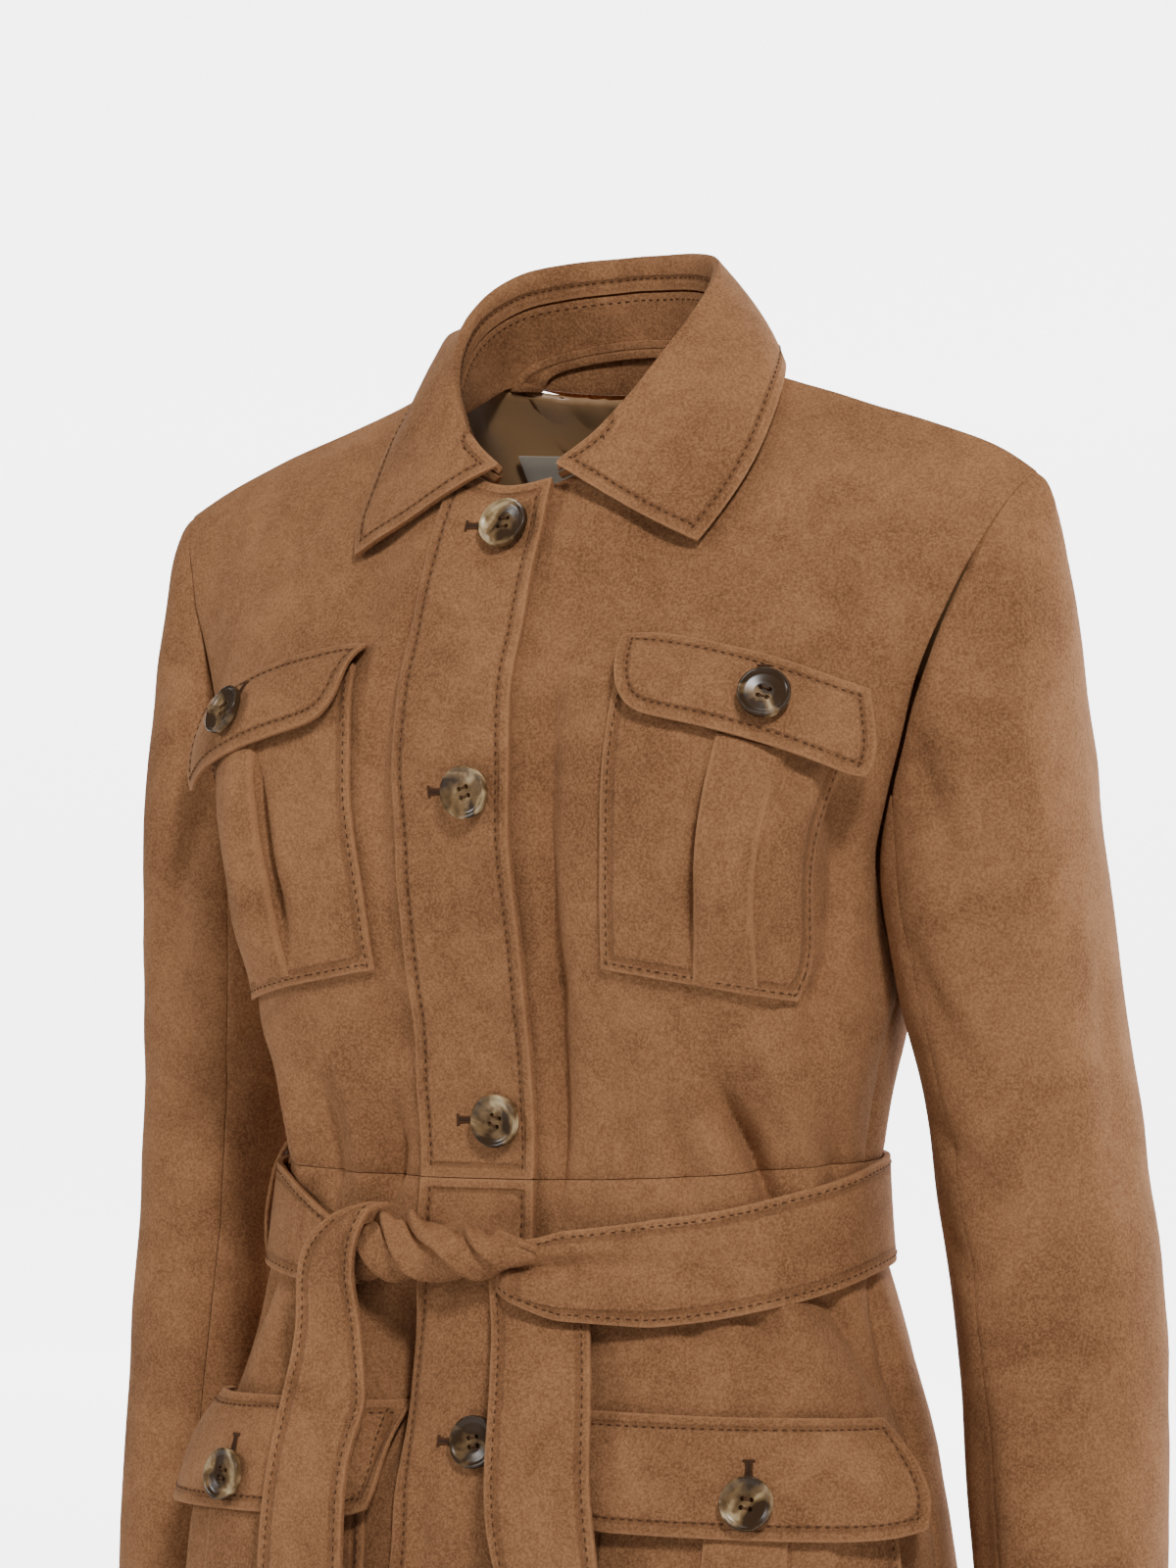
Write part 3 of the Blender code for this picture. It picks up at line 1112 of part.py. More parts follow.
def add_collar(panels):
    seam, top, roll, edge, away = collar_lines(panels)
    up = np.array([0.0, 0.0, 1.0])
    # The stand rises from the neck seam to where the leaf is sewn to it.
    low = seam + up * 0.0012 - away * 0.0006
    high = top - up * (0.5 * SEAM_GAP)
    stand = np.stack([low, 0.5 * (low + high), high])
    inner = stand - away * COLLAR_WALL
    add_wall("collar_stand", stand, inner, SUEDE)
    # The leaf goes on up, turns over at the roll and falls outside the stand to its edge.
    rise = np.minimum(1.0, (roll[:, 2:] - top[:, 2:]) / 0.010)
    shown = [top + up * (3.0 * SEAM_GAP) - away * COLLAR_WALL]
    hidden = [top + up * (3.0 * SEAM_GAP)]
    shown.append(roll - away * COLLAR_WALL - up * 0.0030 * rise)
    hidden.append(roll - up * (0.0024 + 0.0020 * rise))
    shown.append(roll + away * 0.0004 + up * 0.0004)
    hidden.append(roll + away * 0.0004 - up * (0.0020 + 0.0008 * rise))
    start = roll + away * (0.0008 + COLLAR_WALL) - up * 0.0030 * rise
    fall = edge - start
    drop = np.linalg.norm(fall, axis=1, keepdims=True)
    bow = away * np.clip(0.10 * drop, 0.002, 0.006)
    outer = [start]
    for share in (0.16, 0.38, 0.60, 0.80, 1.0):
        outer.append(start + fall * share + bow * (4 * share * (1 - share)))
    outer = np.stack(outer)
    across = np.gradient(outer, axis=1)
    along = np.gradient(outer, axis=0)
    ways = unit(np.cross(along, across))
    ways = ways * np.where(np.sum(ways * (away + 0.6 * up), axis=-1, keepdims=True) < 0, -1.0, 1.0)
    names = [n for n in bpy.data.objects.keys() if not n.startswith("button")]
    ways[0] = away
    under = laid_over(outer - ways * COLLAR_WALL, ways, tree_of(names), gap=0.0014, reach=0.016)
    shown = np.concatenate([np.stack(shown), under + ways * COLLAR_WALL])
    hidden = np.concatenate([np.stack(hidden), under])
    add_wall("collar_leaf", shown, hidden, SUEDE)


def grid_normals(grid, outward):
    """Directions square to a grid, on the side of the outward hint."""
    across = np.gradient(grid, axis=1)
    along = np.gradient(grid, axis=0)
    found = unit(np.cross(across, along))
    return found * (1.0 if float(np.sum(found * outward)) > 0 else -1.0)


def belt_station(panel, u, z):
    """The station on a panel's column that has the height z."""
    stations = np.linspace(-0.42, -0.22, 41)
    heights = panel.base(np.full(41, u), stations)[:, 2]
    return float(np.interp(z, heights, stations))


def belt_edge(point, z):
    panel = FRONT if point.panel == "front" else BACK
    station = belt_station(panel, point.u, z)
    return panel.dressed(point.side)(np.array([point.u]), np.array([station]))[0]


def belt_frames(steps=4):
    """Top and bottom points and outward directions all along the belt."""
    rows = []
    for first, second in zip(BELT_PATH, BELT_PATH[1:]):
        count = steps if abs(first.u - second.u) > 0.02 or first.panel != second.panel else 1
        for i in range(count):
            share = i / count
            panel, side = first.panel, first.side
            start, end = first.u, second.u
            if first.panel != second.panel:
                if first.panel == "front":
                    panel, side, start = "back", second.side, EDGE_U
                elif second.panel == "front":
                    panel, side, end = "back", first.side, EDGE_U
            if first.side != second.side:
                side = second.side if first.u == 0.0 else first.side
            u = start + (end - start) * share
            z = first.z + (second.z - first.z) * share
            lift = first.lift + (second.lift - first.lift) * share
            rows.append(BeltPoint("step", panel, side, u, z, lift))
    rows.append(BELT_PATH[-1])
    return rows


def add_belt_band(under):
    rows = belt_frames()
    half = 0.5 * BELT_WIDTH
    top = np.array([belt_edge(r, r.z + half) for r in rows])
    low = np.array([belt_edge(r, r.z - half) for r in rows])
    lift = np.array([[r.lift] for r in rows])
    middle = 0.5 * (top + low)
    along = np.gradient(middle, axis=0)
    away = unit(np.column_stack([along[:, 1], -along[:, 0], 0 * along[:, 2]]))
    if float(np.sum(away * np.column_stack([middle[:, 0], middle[:, 1], 0 * middle[:, 0]]))) < 0:
        away = -away
    inner = np.stack([low, middle, top]) + away * (BELT_CLEAR + lift)
    ways = np.broadcast_to(away, inner.shape).copy()
    inner = laid_over(inner, ways, tree_of(under), gap=0.0008, reach=0.02)
    for _ in range(2):
        smooth = 0.25 * inner[:, :-2] + 0.5 * inner[:, 1:-1] + 0.25 * inner[:, 2:]
        inner[:, 1:-1] = smooth
    inner = laid_over(inner, ways, tree_of(under), gap=0.0008, reach=0.02)
    normals = grid_normals(inner, ways)
    add_wall("belt_band", inner + normals * BELT_WALL, inner, SUEDE)


def add_knot():
    """Twisted rope of belt: flat at the band, round in the middle, spread at its end."""
    sides = 10
    sections = KNOT_SECTIONS
    knots = np.arange(len(sections), dtype=float)
    values = through(knots, [s[1:] for s in sections], np.linspace(0, knots[-1], 15))
    under, _ = cover_surface(values[:, 0], values[:, 1])
    points = []
    for (x, z, height, thickness, lift, spin), ground in zip(values, under):
        y = ground[1] - lift
        for i in range(sides):
            turn = 2 * math.pi * i / sides
            ridge = 1.0 + 0.16 * math.cos(2 * turn + 2 * math.radians(spin))
            tall = 0.5 * height * math.sin(turn) * ridge
            deep = 0.5 * thickness * math.cos(turn) * ridge
            points.append((x, y + deep, z + tall))
    rings = len(values)
    faces = [tuple(range(sides))[::-1], tuple(range((rings - 1) * sides, rings * sides))]
    for r in range(rings - 1):
        for i in range(sides):
            a, b = r * sides + i, r * sides + (i + 1) % sides
            faces.append((a, b, b + sides, a + sides))
    add_mesh("belt_knot", points, faces, SUEDE)


def cover_surface(x, z):
    """The outermost cloth of the fronts at places x, z: placket, right front or left front."""
    left, left_ways = front_surface(LEFT, np.maximum(x, 0.0), z)
    right, right_ways = front_surface(RIGHT, np.maximum(-x, -PLACKET_FREE), z)
    placket = (LAYER_GAP + PLACKET_WALL) * (1 - smooth_step(PLACKET_INNER, PLACKET_INNER + 0.010, -x))
    right = right + right_ways * placket[..., None]
    over = (x < PLACKET_FREE + 0.004)[..., None]
    return np.where(over, right, left), np.where(over, right_ways, left_ways)


def tail_grid(rows, columns=4, steps=2):
    knots = np.arange(len(rows), dtype=float)
    values = through(knots, [list(r) for r in rows], np.linspace(0, knots[-1], steps * (len(rows) - 1) + 1))
    shares = np.linspace(0, 1, columns)
    x = values[:, :1] + (values[:, 1:2] - values[:, :1]) * shares
    z = np.broadcast_to(values[:, 2:3], x.shape)
    under, ways = cover_surface(x, z)
    grid = under + ways * values[:, 3, None, None]
    # A strip is straight across: its points lie on the line between its two edges.
    return grid[:, :1] * (1 - shares)[:, None] + grid[:, -1:] * shares[:, None]


def add_tail(name, rows, steps, under):
    grid = tail_grid(rows, steps=steps)
    ahead = np.broadcast_to(np.array([0.0, -1.0, 0.0]), grid.shape)
    grid = laid_over(grid, ahead, tree_of(under), gap=0.0008, reach=0.03)
    normals = grid_normals(grid, ahead)
    add_wall(name, grid + normals * BELT_WALL, grid, SUEDE)


def add_belt_loops(under):
    """Narrow strips that stand off the belt, sewn down above and below it."""
    for name, panel_name, side, u, z in LOOP_PLACES:
        panel = FRONT if panel_name == "front" else BACK
        grid = []
        for share in np.linspace(0, 1, 9):
            height = z + (0.5 - share) * LOOP_HEIGHT
            station = belt_station(panel, u, height)
            half = 0.5 * LOOP_WIDTH
            ends = np.array([u - half, u + half])
            points = panel.dressed(side)(ends, np.full(2, station))
            normal = unit(panel.outward_of(side)(ends, np.full(2, station)).mean(axis=0))
            bow = LOOP_BOW * math.sin(math.pi * share) ** 0.6
            grid.append(points + normal * (LAYER_GAP + bow))
        grid = np.array(grid)
        middle = grid.mean(axis=(0, 1))
        ahead = np.broadcast_to(unit(np.array([middle[0], middle[1], 0.0])), grid.shape)
        grid = laid_over(grid, ahead, tree_of(under), gap=0.0008, reach=0.02)
        normals = grid_normals(grid, np.broadcast_to([middle[0], middle[1], 0.0], grid.shape))
        add_wall(name, grid + normals * LOOP_WALL, grid, SUEDE)


def add_hanger():
    """Arched strip lying inside the back of the stand."""
    tree = tree_of(["collar_stand", "back_upper"])
    axis = Vector((0.0, -0.5 * NECK_SIDE_Y - 0.012, 0.0))
    grid = []
    ways = []
    for turn in np.linspace(0.0, math.pi, 17):
        row = []
        turned = []
        for offset in (-0.5, 0.5):
            x = (HANGER_HALF_SPAN + offset * HANGER_WIDTH) * math.cos(turn)
            z = HANGER_BASE_Z + (HANGER_RISE + (offset + 0.5) * HANGER_WIDTH) * math.sin(turn) ** 0.6
            aim = Vector((x, 0.060 * math.sqrt(max(1 - (x / 0.0600) ** 2, 0.1)), 0.0)).normalized()
            found = tree.ray_cast(axis + Vector((0, 0, z)), aim, 0.15)
            distance = found[3] if found[0] is not None else 0.055
            row.append(tuple(axis + Vector((0, 0, z)) + aim * (distance - 0.0010)))
            turned.append(tuple(-aim))
        grid.append(row)
        ways.append(turned)
    grid, ways = np.array(grid), np.array(ways)
    grid = laid_over(grid, ways, tree, gap=0.0008, reach=0.02)
    add_wall("hanger_loop", grid + ways * HANGER_WALL, grid, SUEDE)


def add_lining(panels):
    """The lining seen through the neck: the back's points moved in past its wall."""
    rows = slice(-1 - LINING_ROWS, None)
    points = panels["back_upper"][0][rows, 1:-1]
    normals = panels["back_upper"][1][rows, 1:-1]
    outer = parted(points, 0.0020) - normals * (BODY_WALL + LAYER_GAP)
    add_wall("lining_back", outer, outer - normals * LINING_WALL, SATIN)
    return outer - normals * LINING_WALL


def add_label(surface):
    """A bare woven tape sewn to the lining below the neck."""
    flat = surface.reshape(-1, 3)
    half_width, half_height = 0.5 * LABEL_SIZE[0], 0.5 * LABEL_SIZE[1]
    grid = []
    for z in (0.012 + half_height, 0.012 - half_height):
        row = []
        for x in np.linspace(LABEL_CENTRE_X - half_width, LABEL_CENTRE_X + half_width, 4):
            weight = np.exp(-(((flat[:, 0] - x) / 0.012) ** 2) - (((flat[:, 2] - z) / 0.014) ** 2))
            y = float((flat[:, 1] * weight).sum() / weight.sum())
            row.append((x, y - 0.0035, z))
        grid.append(row)
    grid = np.array(grid)
    ahead = np.broadcast_to(np.array([0.0, -1.0, 0.0]), grid.shape)
    directions = grid_normals(grid, ahead)
    add_wall("neck_label", grid + directions * 0.0008, grid, TAPE)


def side_word(side):
    return "left" if side == LEFT else "right"


def add_pockets():
    for side in (LEFT, RIGHT):
        word = side_word(side)
        upper, lower = f"front_{word}_upper", f"front_{word}_lower"
        chest, hip = f"chest_pocket_{word}", f"hip_pocket_{word}"
        add_pocket(CHEST_POCKET, CHEST_PLEAT, side, chest, 9, 0.0022, [upper])
        add_flap(CHEST_FLAP, side, f"chest_flap_{word}", 0.0060, [upper, chest])
        add_pocket(HIP_POCKET, HIP_PLEAT, side, hip, 9, 0.0022, [lower])
        add_flap(HIP_FLAP, side, f"hip_flap_{word}", 0.0060, [lower, hip])


def add_buttons():
    for button in FRONT_BUTTONS:
        level = "upper" if button.z > WAIST_STATION else "lower"
        place, direction = button_seat(RIGHT, button.x, button.z, [f"placket_{level}"])
        add_button(button.name, place, direction)
    for button in POCKET_BUTTONS:
        for side in (LEFT, RIGHT):
            word = side_word(side)
            place, direction = button_seat(side, button.x, button.z, [f"{button.flap}_{word}"])
            add_button(f"{button.name}_{word}", place, direction)


def main():
    clear_scene()
    panels = add_body()
    add_placket()
    add_pockets()
    body = [n for n in bpy.data.objects.keys() if not n.startswith("sleeve")]
    add_belt_band(body)
    add_belt_loops(body + ["belt_band"])
    add_knot()
    add_tail("belt_tail_right", TAIL_FROM_KNOT, 2, body)
    add_tail("belt_tail_left", TAIL_FROM_BAND, 2, body)
    add_collar(panels)
    add_buttons()
    add_hanger()
    add_label(add_lining(panels))


main()
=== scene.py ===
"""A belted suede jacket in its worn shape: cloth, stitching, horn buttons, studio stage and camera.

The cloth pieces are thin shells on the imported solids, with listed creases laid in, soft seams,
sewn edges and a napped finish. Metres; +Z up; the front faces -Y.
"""

import json
import math
from collections import namedtuple
import bmesh
import bpy
import numpy as np
from mathutils import Matrix, Vector, noise
from mathutils.bvhtree import BVHTree

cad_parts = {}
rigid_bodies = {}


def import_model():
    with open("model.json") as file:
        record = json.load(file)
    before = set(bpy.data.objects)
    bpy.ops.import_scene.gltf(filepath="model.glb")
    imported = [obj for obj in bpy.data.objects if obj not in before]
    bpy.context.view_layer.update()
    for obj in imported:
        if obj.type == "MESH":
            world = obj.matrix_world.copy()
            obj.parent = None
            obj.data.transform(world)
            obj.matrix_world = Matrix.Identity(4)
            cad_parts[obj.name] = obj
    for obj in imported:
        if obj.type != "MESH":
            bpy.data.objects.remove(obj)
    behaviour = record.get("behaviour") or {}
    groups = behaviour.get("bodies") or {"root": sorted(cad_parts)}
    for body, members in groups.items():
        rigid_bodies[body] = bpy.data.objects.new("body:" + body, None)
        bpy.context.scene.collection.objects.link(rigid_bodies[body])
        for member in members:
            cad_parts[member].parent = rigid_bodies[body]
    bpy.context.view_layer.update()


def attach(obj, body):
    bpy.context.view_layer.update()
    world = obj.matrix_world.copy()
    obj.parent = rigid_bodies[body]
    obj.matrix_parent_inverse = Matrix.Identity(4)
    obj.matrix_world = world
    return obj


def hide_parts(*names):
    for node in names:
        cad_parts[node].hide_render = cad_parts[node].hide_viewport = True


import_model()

bl_info = {
    "name": "Suede Jacket",
    "version": (1, 0, 0),
    "blender": (4, 5, 0),
    "location": "3D View > Sidebar > Jacket",
    "description": "Cloth, seams, buttons and stage of a belted suede jacket",
    "category": "Object",
}

# The camera that frames the jacket from its front left.
CAMERA_PLACE = (1.138, -1.971, -0.2135)
CAMERA_TURN = (92.164, 0.0, 30.09)
CAMERA_LENS = 119.1

# Cloth pieces: how each is cut and how it stitches. Sizes in metres.
Cut = namedtuple("Cut", "node width length area held rests_on")
CUTS = (
    Cut("back_upper", 0.48, 0.39, 0.138, "stretched", ()),
    Cut("back_lower", 0.46, 0.37, 0.158, "hung", ("back_upper",)),
    Cut("front_left_upper", 0.26, 0.37, 0.0753, "stretched", ()),
    Cut("front_left_lower", 0.25, 0.36, 0.085, "hung", ("front_left_upper",)),
    Cut("front_right_upper", 0.26, 0.37, 0.0737, "stretched", ()),
    Cut("front_right_lower", 0.25, 0.36, 0.0836, "hung", ("front_right_upper",)),
    Cut("sleeve_left_upper", 0.26, 0.6, 0.1035, "hung", ("front_left_upper", "back_upper")),
    Cut("sleeve_left_under", 0.12, 0.47, 0.0445, "hung", ("front_left_upper", "back_upper")),
    Cut("sleeve_right_upper", 0.26, 0.6, 0.1035, "hung", ("front_right_upper", "back_upper")),
    Cut("sleeve_right_under", 0.12, 0.47, 0.0445, "hung", ("front_right_upper", "back_upper")),
    Cut("collar_stand", 0.33, 0.042, 0.0098, "stretched", ("back_upper",)),
    Cut("collar_leaf", 0.45, 0.095, 0.031, "folded", ("collar_stand",)),
    Cut("placket_upper", 0.058, 0.32, 0.0182, "stretched", ("front_right_upper",)),
    Cut("placket_lower", 0.06, 0.345, 0.0206, "hung", ("front_right_lower",)),
    Cut("chest_pocket_left", 0.108, 0.146, 0.0148, "stretched", ("front_left_upper",)),
    Cut("chest_pocket_right", 0.108, 0.146, 0.0147, "stretched", ("front_right_upper",)),
    Cut("chest_flap_left", 0.12, 0.048, 0.00505, "hung", ("front_left_upper",)),
    Cut("chest_flap_right", 0.12, 0.048, 0.00505, "hung", ("front_right_upper",)),
    Cut("hip_pocket_left", 0.135, 0.17, 0.0207, "stretched", ("front_left_lower",)),
    Cut("hip_pocket_right", 0.135, 0.17, 0.0206, "stretched", ("front_right_lower",)),
    Cut("hip_flap_left", 0.15, 0.062, 0.0088, "hung", ("front_left_lower",)),
    Cut("hip_flap_right", 0.15, 0.062, 0.0087, "hung", ("front_right_lower",)),
    Cut("belt_band", 0.74, 0.046, 0.0301, "stretched", ("belt_loop_left", "belt_loop_right")),
    Cut("belt_tail_left", 0.05, 0.27, 0.013, "hung", ("belt_band",)),
    Cut("belt_tail_right", 0.048, 0.3, 0.0134, "hung", ("belt_knot",)),
    Cut("belt_loop_left", 0.012, 0.068, 0.0008, "stretched", ("back_upper", "back_lower")),
    Cut("belt_loop_right", 0.0125, 0.062, 0.00075, "stretched", ("front_right_upper", "front_right_lower")),
    Cut("hanger_loop", 0.011, 0.15, 0.0013, "folded", ("collar_stand",)),
    Cut("lining_back", 0.38, 0.17, 0.0506, "stretched", ("back_upper",)),
    Cut("neck_label", 0.052, 0.027, 0.00134, "stretched", ("lining_back",)),
)
AREA_PIECES = ("sleeve", "collar")
FINE_PIECES = ("front", "belt_band", "placket")
SEAMED_PIECES = ("front", "back", "sleeve")

# Creases: a soft trough or ridge along a line between two places on the jacket. A row gives its start,
# end, width, depth, where a trough is negative, and sideways bow, all in millimetres.
MILLIMETRES = 1000
Crease = namedtuple("Crease", "region start end width depth bend")
BODY_CREASES = (
    # Left front above the belt: a deep pleat with its ridges, and gathers beside it.
    ((119.5, -60, -310), (101, -82, -254), 4.6, -7, 4),
    ((132, -50, -304), (108, -74, -226), 8.5, 3.6, 5),
    ((104, -70, -310), (80, -88, -236), 8, 2.6, 3),
    ((144, -40, -300), (130, -60, -236), 7, -3, 3),
    ((90, -78, -308), (84, -86, -268), 5, -2.2, 0),
    ((64, -78, -306), (60, -86, -262), 6, -2, 1),
    ((50, -80, -306), (47, -86, -274), 5, 1.2, 0),
    ((53, -79, -316), (56, -88, -216), 2.6, -0.7, 0),
    # Left front beside the arm and across the chest.
    ((152, -62, -138), (144, -60, -228), 11, -5.5, -4),
    ((146, -70, -124), (128, -78, -200), 7, 2.2, 4),
    ((134, -70, -222), (96, -88, -252), 9, -2.2, 4),
    ((44, -100, -30), (30, -100, -170), 16, -2.6, 4),
    ((36, -100, -210), (30, -90, -290), 10, -2.2, 2),
    ((28.5, -88, -318), (32, -100, -160), 4.6, -3.4, 0),
    ((32.5, -100, -210), (34.5, -100, -60), 4.6, -3, 0),
    ((150, -60, -205), (139, -66, -268), 6, -3, 4),
    ((138, -66, -240), (148, -50, -286), 5, 2, -3),
    ((166, -45, -40), (150, -70, -110), 15, -2.4, 4),
    ((90, -95, -20), (120, -90, -75), 18, -1.6, 4),
    ((110, -95, -135), (95, -90, -212), 4, -3.6, 0),
    ((-112, -95, -128), (-98, -90, -208), 4, -3.6, 0),
    # Right front above the belt.
    ((-62, -77, -318), (-56, -80, -262), 5, -4.5, 2),
    ((-73, -76, -316), (-76, -82, -250), 7, 2.8, 3),
    ((-88, -72, -310), (-96, -78, -244), 6, -3.4, 3),
    ((-106, -66, -306), (-118, -70, -238), 8, 2.2, 3),
    ((-126, -52, -302), (-136, -55, -230), 6.5, -4.2, 3),
    ((-150, -62, -140), (-140, -62, -232), 11, -4.6, 4),
    ((-44, -95, -40), (-46, -85, -290), 6, -2, 3),
    ((-60, -98, -215), (-52, -88, -262), 8, -2, 0),
    # Fronts below the belt.
    ((135, -52, -340), (159, -25, -400), 5.6, -4, -4),
    ((124, -62, -344), (145, -55, -392), 7, 3.4, -3),
    ((112, -72, -350), (133, -66, -388), 6, -3, -2),
    ((90, -78, -350), (98, -84, -392), 7, -1.6, 0),
    ((150, -20, -340), (168, -10, -440), 8, -3.6, 3),
    ((-50, -83, -346), (-48, -92, -430), 7.5, -8.5, 1),
    ((-70, -79, -346), (-74, -88, -420), 7, 3, 2),
    ((-96, -74, -346), (-108, -82, -404), 8, -3, 3),
    ((-124, -56, -342), (-145, -55, -400), 6.5, -4.2, 3),
    ((-144, -20, -342), (-164, -22, -430), 8, -3.4, 3),
    ((22, -100, -440), (30, -108, -600), 13, -2.6, 3),
    ((-26, -100, -440), (-30, -108, -600), 13, -2.6, -3),
    # Back.
    ((48, 85, -296), (60, 95, -205), 8, -5, 6),
    ((86, 70, -292), (104, 80, -226), 7, -4.2, 5),
    ((18, 90, -296), (12, 100, -236), 8, -2.6, 3),
    ((-30, 88, -296), (-38, 98, -196), 9, -4.8, -5),
    ((-76, 75, -294), (-94, 85, -232), 7, -4, -6),
    ((-116, 50, -292), (-128, 60, -240), 7, -3.4, -3),
    ((150, 60, -120), (112, 85, -205), 12, -4, 8),
    ((-150, 60, -130), (-118, 85, -222), 12, -4.2, -8),
    ((60, 80, -330), (74, 90, -450), 10, -4.8, 4),
    ((106, 60, -328), (124, 70, -410), 8, -3.6, 4),
    ((-46, 80, -330), (-54, 90, -420), 9, -4.4, -4),
    ((-98, 62, -328), (-116, 70, -440), 10, -4.2, -4),
)
LEFT_ARM_CREASES = (
    ((206, -50, -30), (212, -45, -120), 14, -3, 4),
    ((178, -40, -120), (202, -45, -215), 9, -3.8, -6),
    ((176, -20, -200), (204, -40, -262), 9, -3.4, 4),
    ((178, -10, -272), (208, -36, -306), 8, -3.6, 4),
    ((176, -5, -316), (202, -30, -344), 7, -3, 3),
    ((198, -30, -360), (224, -36, -384), 9, -2.2, 2),
    ((200, 75, -90), (215, 70, -220), 13, -4, 4),
    ((210, 85, -270), (234, 70, -320), 10, -3.4, 4),
    ((245, 10, -190), (254, 15, -330), 16, -3, 2),
    ((245, -10, -350), (250, -12, -430), 13, -2, 2),
    ((190, -20, -400), (202, -20, -510), 12, -3.2, 4),
    ((240, 0, -500), (248, 0, -610), 13, -2.8, 2),
)
RIGHT_ARM_CREASES = (
    ((-206, -50, -40), (-211, -45, -130), 14, -3, 4),
    ((-178, -40, -140), (-201, -45, -238), 9, -3.8, 6),
    ((-180, -10, -262), (-208, -36, -298), 8, -3.6, 4),
    ((-178, -5, -318), (-204, -30, -344), 7, -3.2, 4),
    ((-198, 75, -100), (-214, 70, -230), 13, -4.2, 4),
    ((-246, 10, -200), (-253, 15, -350), 16, -2.8, 2),
    ((-192, -20, -410), (-204, -20, -520), 12, -3, 4),
    ((-238, 0, -500), (-247, 0, -610), 13, -2.8, 2),
)


def creases_in(region, rows):
    """The rows of one region as creases in metres."""
    made = []
    for start, end, *sizes in rows:
        ends = (np.array(start) / MILLIMETRES, np.array(end) / MILLIMETRES)
        made.append(Crease(region, *ends, *(size / MILLIMETRES for size in sizes)))
    return made


CREASES = (
    creases_in("body", BODY_CREASES)
    + creases_in("left_arm", LEFT_ARM_CREASES)
    + creases_in("right_arm", RIGHT_ARM_CREASES)
)
# How a crease rises and falls along its line, how far it reaches through the cloth, and its profile.
CREASE_RISE = (-0.22, 0.18)
CREASE_FALL = (0.45, 1.15)
CREASE_REACH = 0.045
CREASE_NARROW = 0.75
CREASE_WIDEN = 0.6
CREASE_FALLOFF = 1.5
ARM_SHARE = 0.55
# The belt holds the cloth flatter round its height.
BELT_HEIGHT = -0.322
BELT_CALM = 0.7
BELT_CALM_WIDTH = 0.022
RIPPLE_SEED = 1.7
RIPPLE_SIZE = 0.034
RIPPLE_DEPTH = 0.0011
SEAM_DITCH = 0.0009
SEAM_DITCH_WIDTH = 0.0032
EDGE_ROUND = 0.0005
ROUNDED_ABOVE = math.radians(55)
SMOOTH_BELOW = math.radians(50)
NO_RIM = 0.05
# Faces of a solid's wall thickness: how thin, how square to the sides, and how opposite those are.
DOUBLES = 0.00002
QUAD_ANGLE = math.radians(70)
RIM_THICK = 0.0036
RIM_SHORT = 0.0042
RIM_SQUARE = 0.85
RIM_BEND = 0.7
RIM_OPPOSITE = -0.5
RIM_PASSES = 6
SHOWN = 0.99
SHORTEST_LOOP = 12
SHARP_ABOVE = math.radians(42)
SOFT_CREASE = 0.8
CORNER_TURN = -0.75
# The body's half axes, and where each arm's middle is: height, sideways and back.
BODY_AXES = (0.150, 0.092)
ARM_CENTRES = ((-0.02, 0.180, 0.004), (-0.200, 0.194, 0.015), (-0.354, 0.210, 0.029), (-0.620, 0.223, 0.016))

# Stitch rows: node, distance in from the edge, and which edges are sewn.
Row = namedtuple("Row", "node inset edges")
SEWN_ROWS = (
    Row("collar_leaf", 0.0055, "all"),
    Row("placket_upper", 0.0055, "long"),
    Row("placket_lower", 0.0055, "long"),
    Row("chest_pocket_left", 0.0030, "all"),
    Row("chest_pocket_right", 0.0030, "all"),
    Row("chest_flap_left", 0.0055, "all"),
    Row("chest_flap_right", 0.0055, "all"),
    Row("hip_pocket_left", 0.0030, "all"),
    Row("hip_pocket_right", 0.0030, "all"),
    Row("hip_flap_left", 0.0060, "all"),
    Row("hip_flap_right", 0.0060, "all"),
    Row("belt_band", 0.0030, "long"),
    Row("belt_tail_left", 0.0035, "long"),
    Row("belt_tail_right", 0.0035, "long"),
)


def piece_name(node):
    return node + "_cloth"


# ---------------------------------------------------------------- settings


def colour_setting(name, description, default):
    return bpy.props.FloatVectorProperty(
        name=name, description=description, subtype="COLOR", size=3, min=0, max=1, default=default,
    )


def length_setting(name, description, default, low, high):
    return bpy.props.FloatProperty(
        name=name, description=description, subtype="DISTANCE", unit="LENGTH",
        default=default, min=low, max=high,
    )


class JacketClothSettings(bpy.types.PropertyGroup):
    suede_light: colour_setting("Suede light", "Nap brushed towards the light", (0.450, 0.222, 0.104))
    suede_dark: colour_setting("Suede dark", "Nap brushed away from the light", (0.140, 0.058, 0.024))
    satin: colour_setting("Lining", "Colour of the satin lining", (0.430, 0.250, 0.120))
    tape: colour_setting("Label", "Colour of the bare woven label", (0.420, 0.370, 0.300))
    crease_depth: bpy.props.FloatProperty(
        name="Crease depth", description="How deep the creases are, as a share", default=2.1, min=0, max=4,
    )
    smoothness: bpy.props.IntProperty(
        name="Smoothness", description="Subdivision steps of the cloth", default=2, min=1, max=3,
    )


class JacketStitchSettings(bpy.types.PropertyGroup):
    pitch: length_setting("Stitch length", "From one stitch to the next", 0.0033, 0.001, 0.01)
    thick: length_setting("Thread", "Width of the sewing thread", 0.00070, 0.0002, 0.002)
    thread: colour_setting("Thread colour", "Tonal sewing thread", (0.100, 0.044, 0.021))


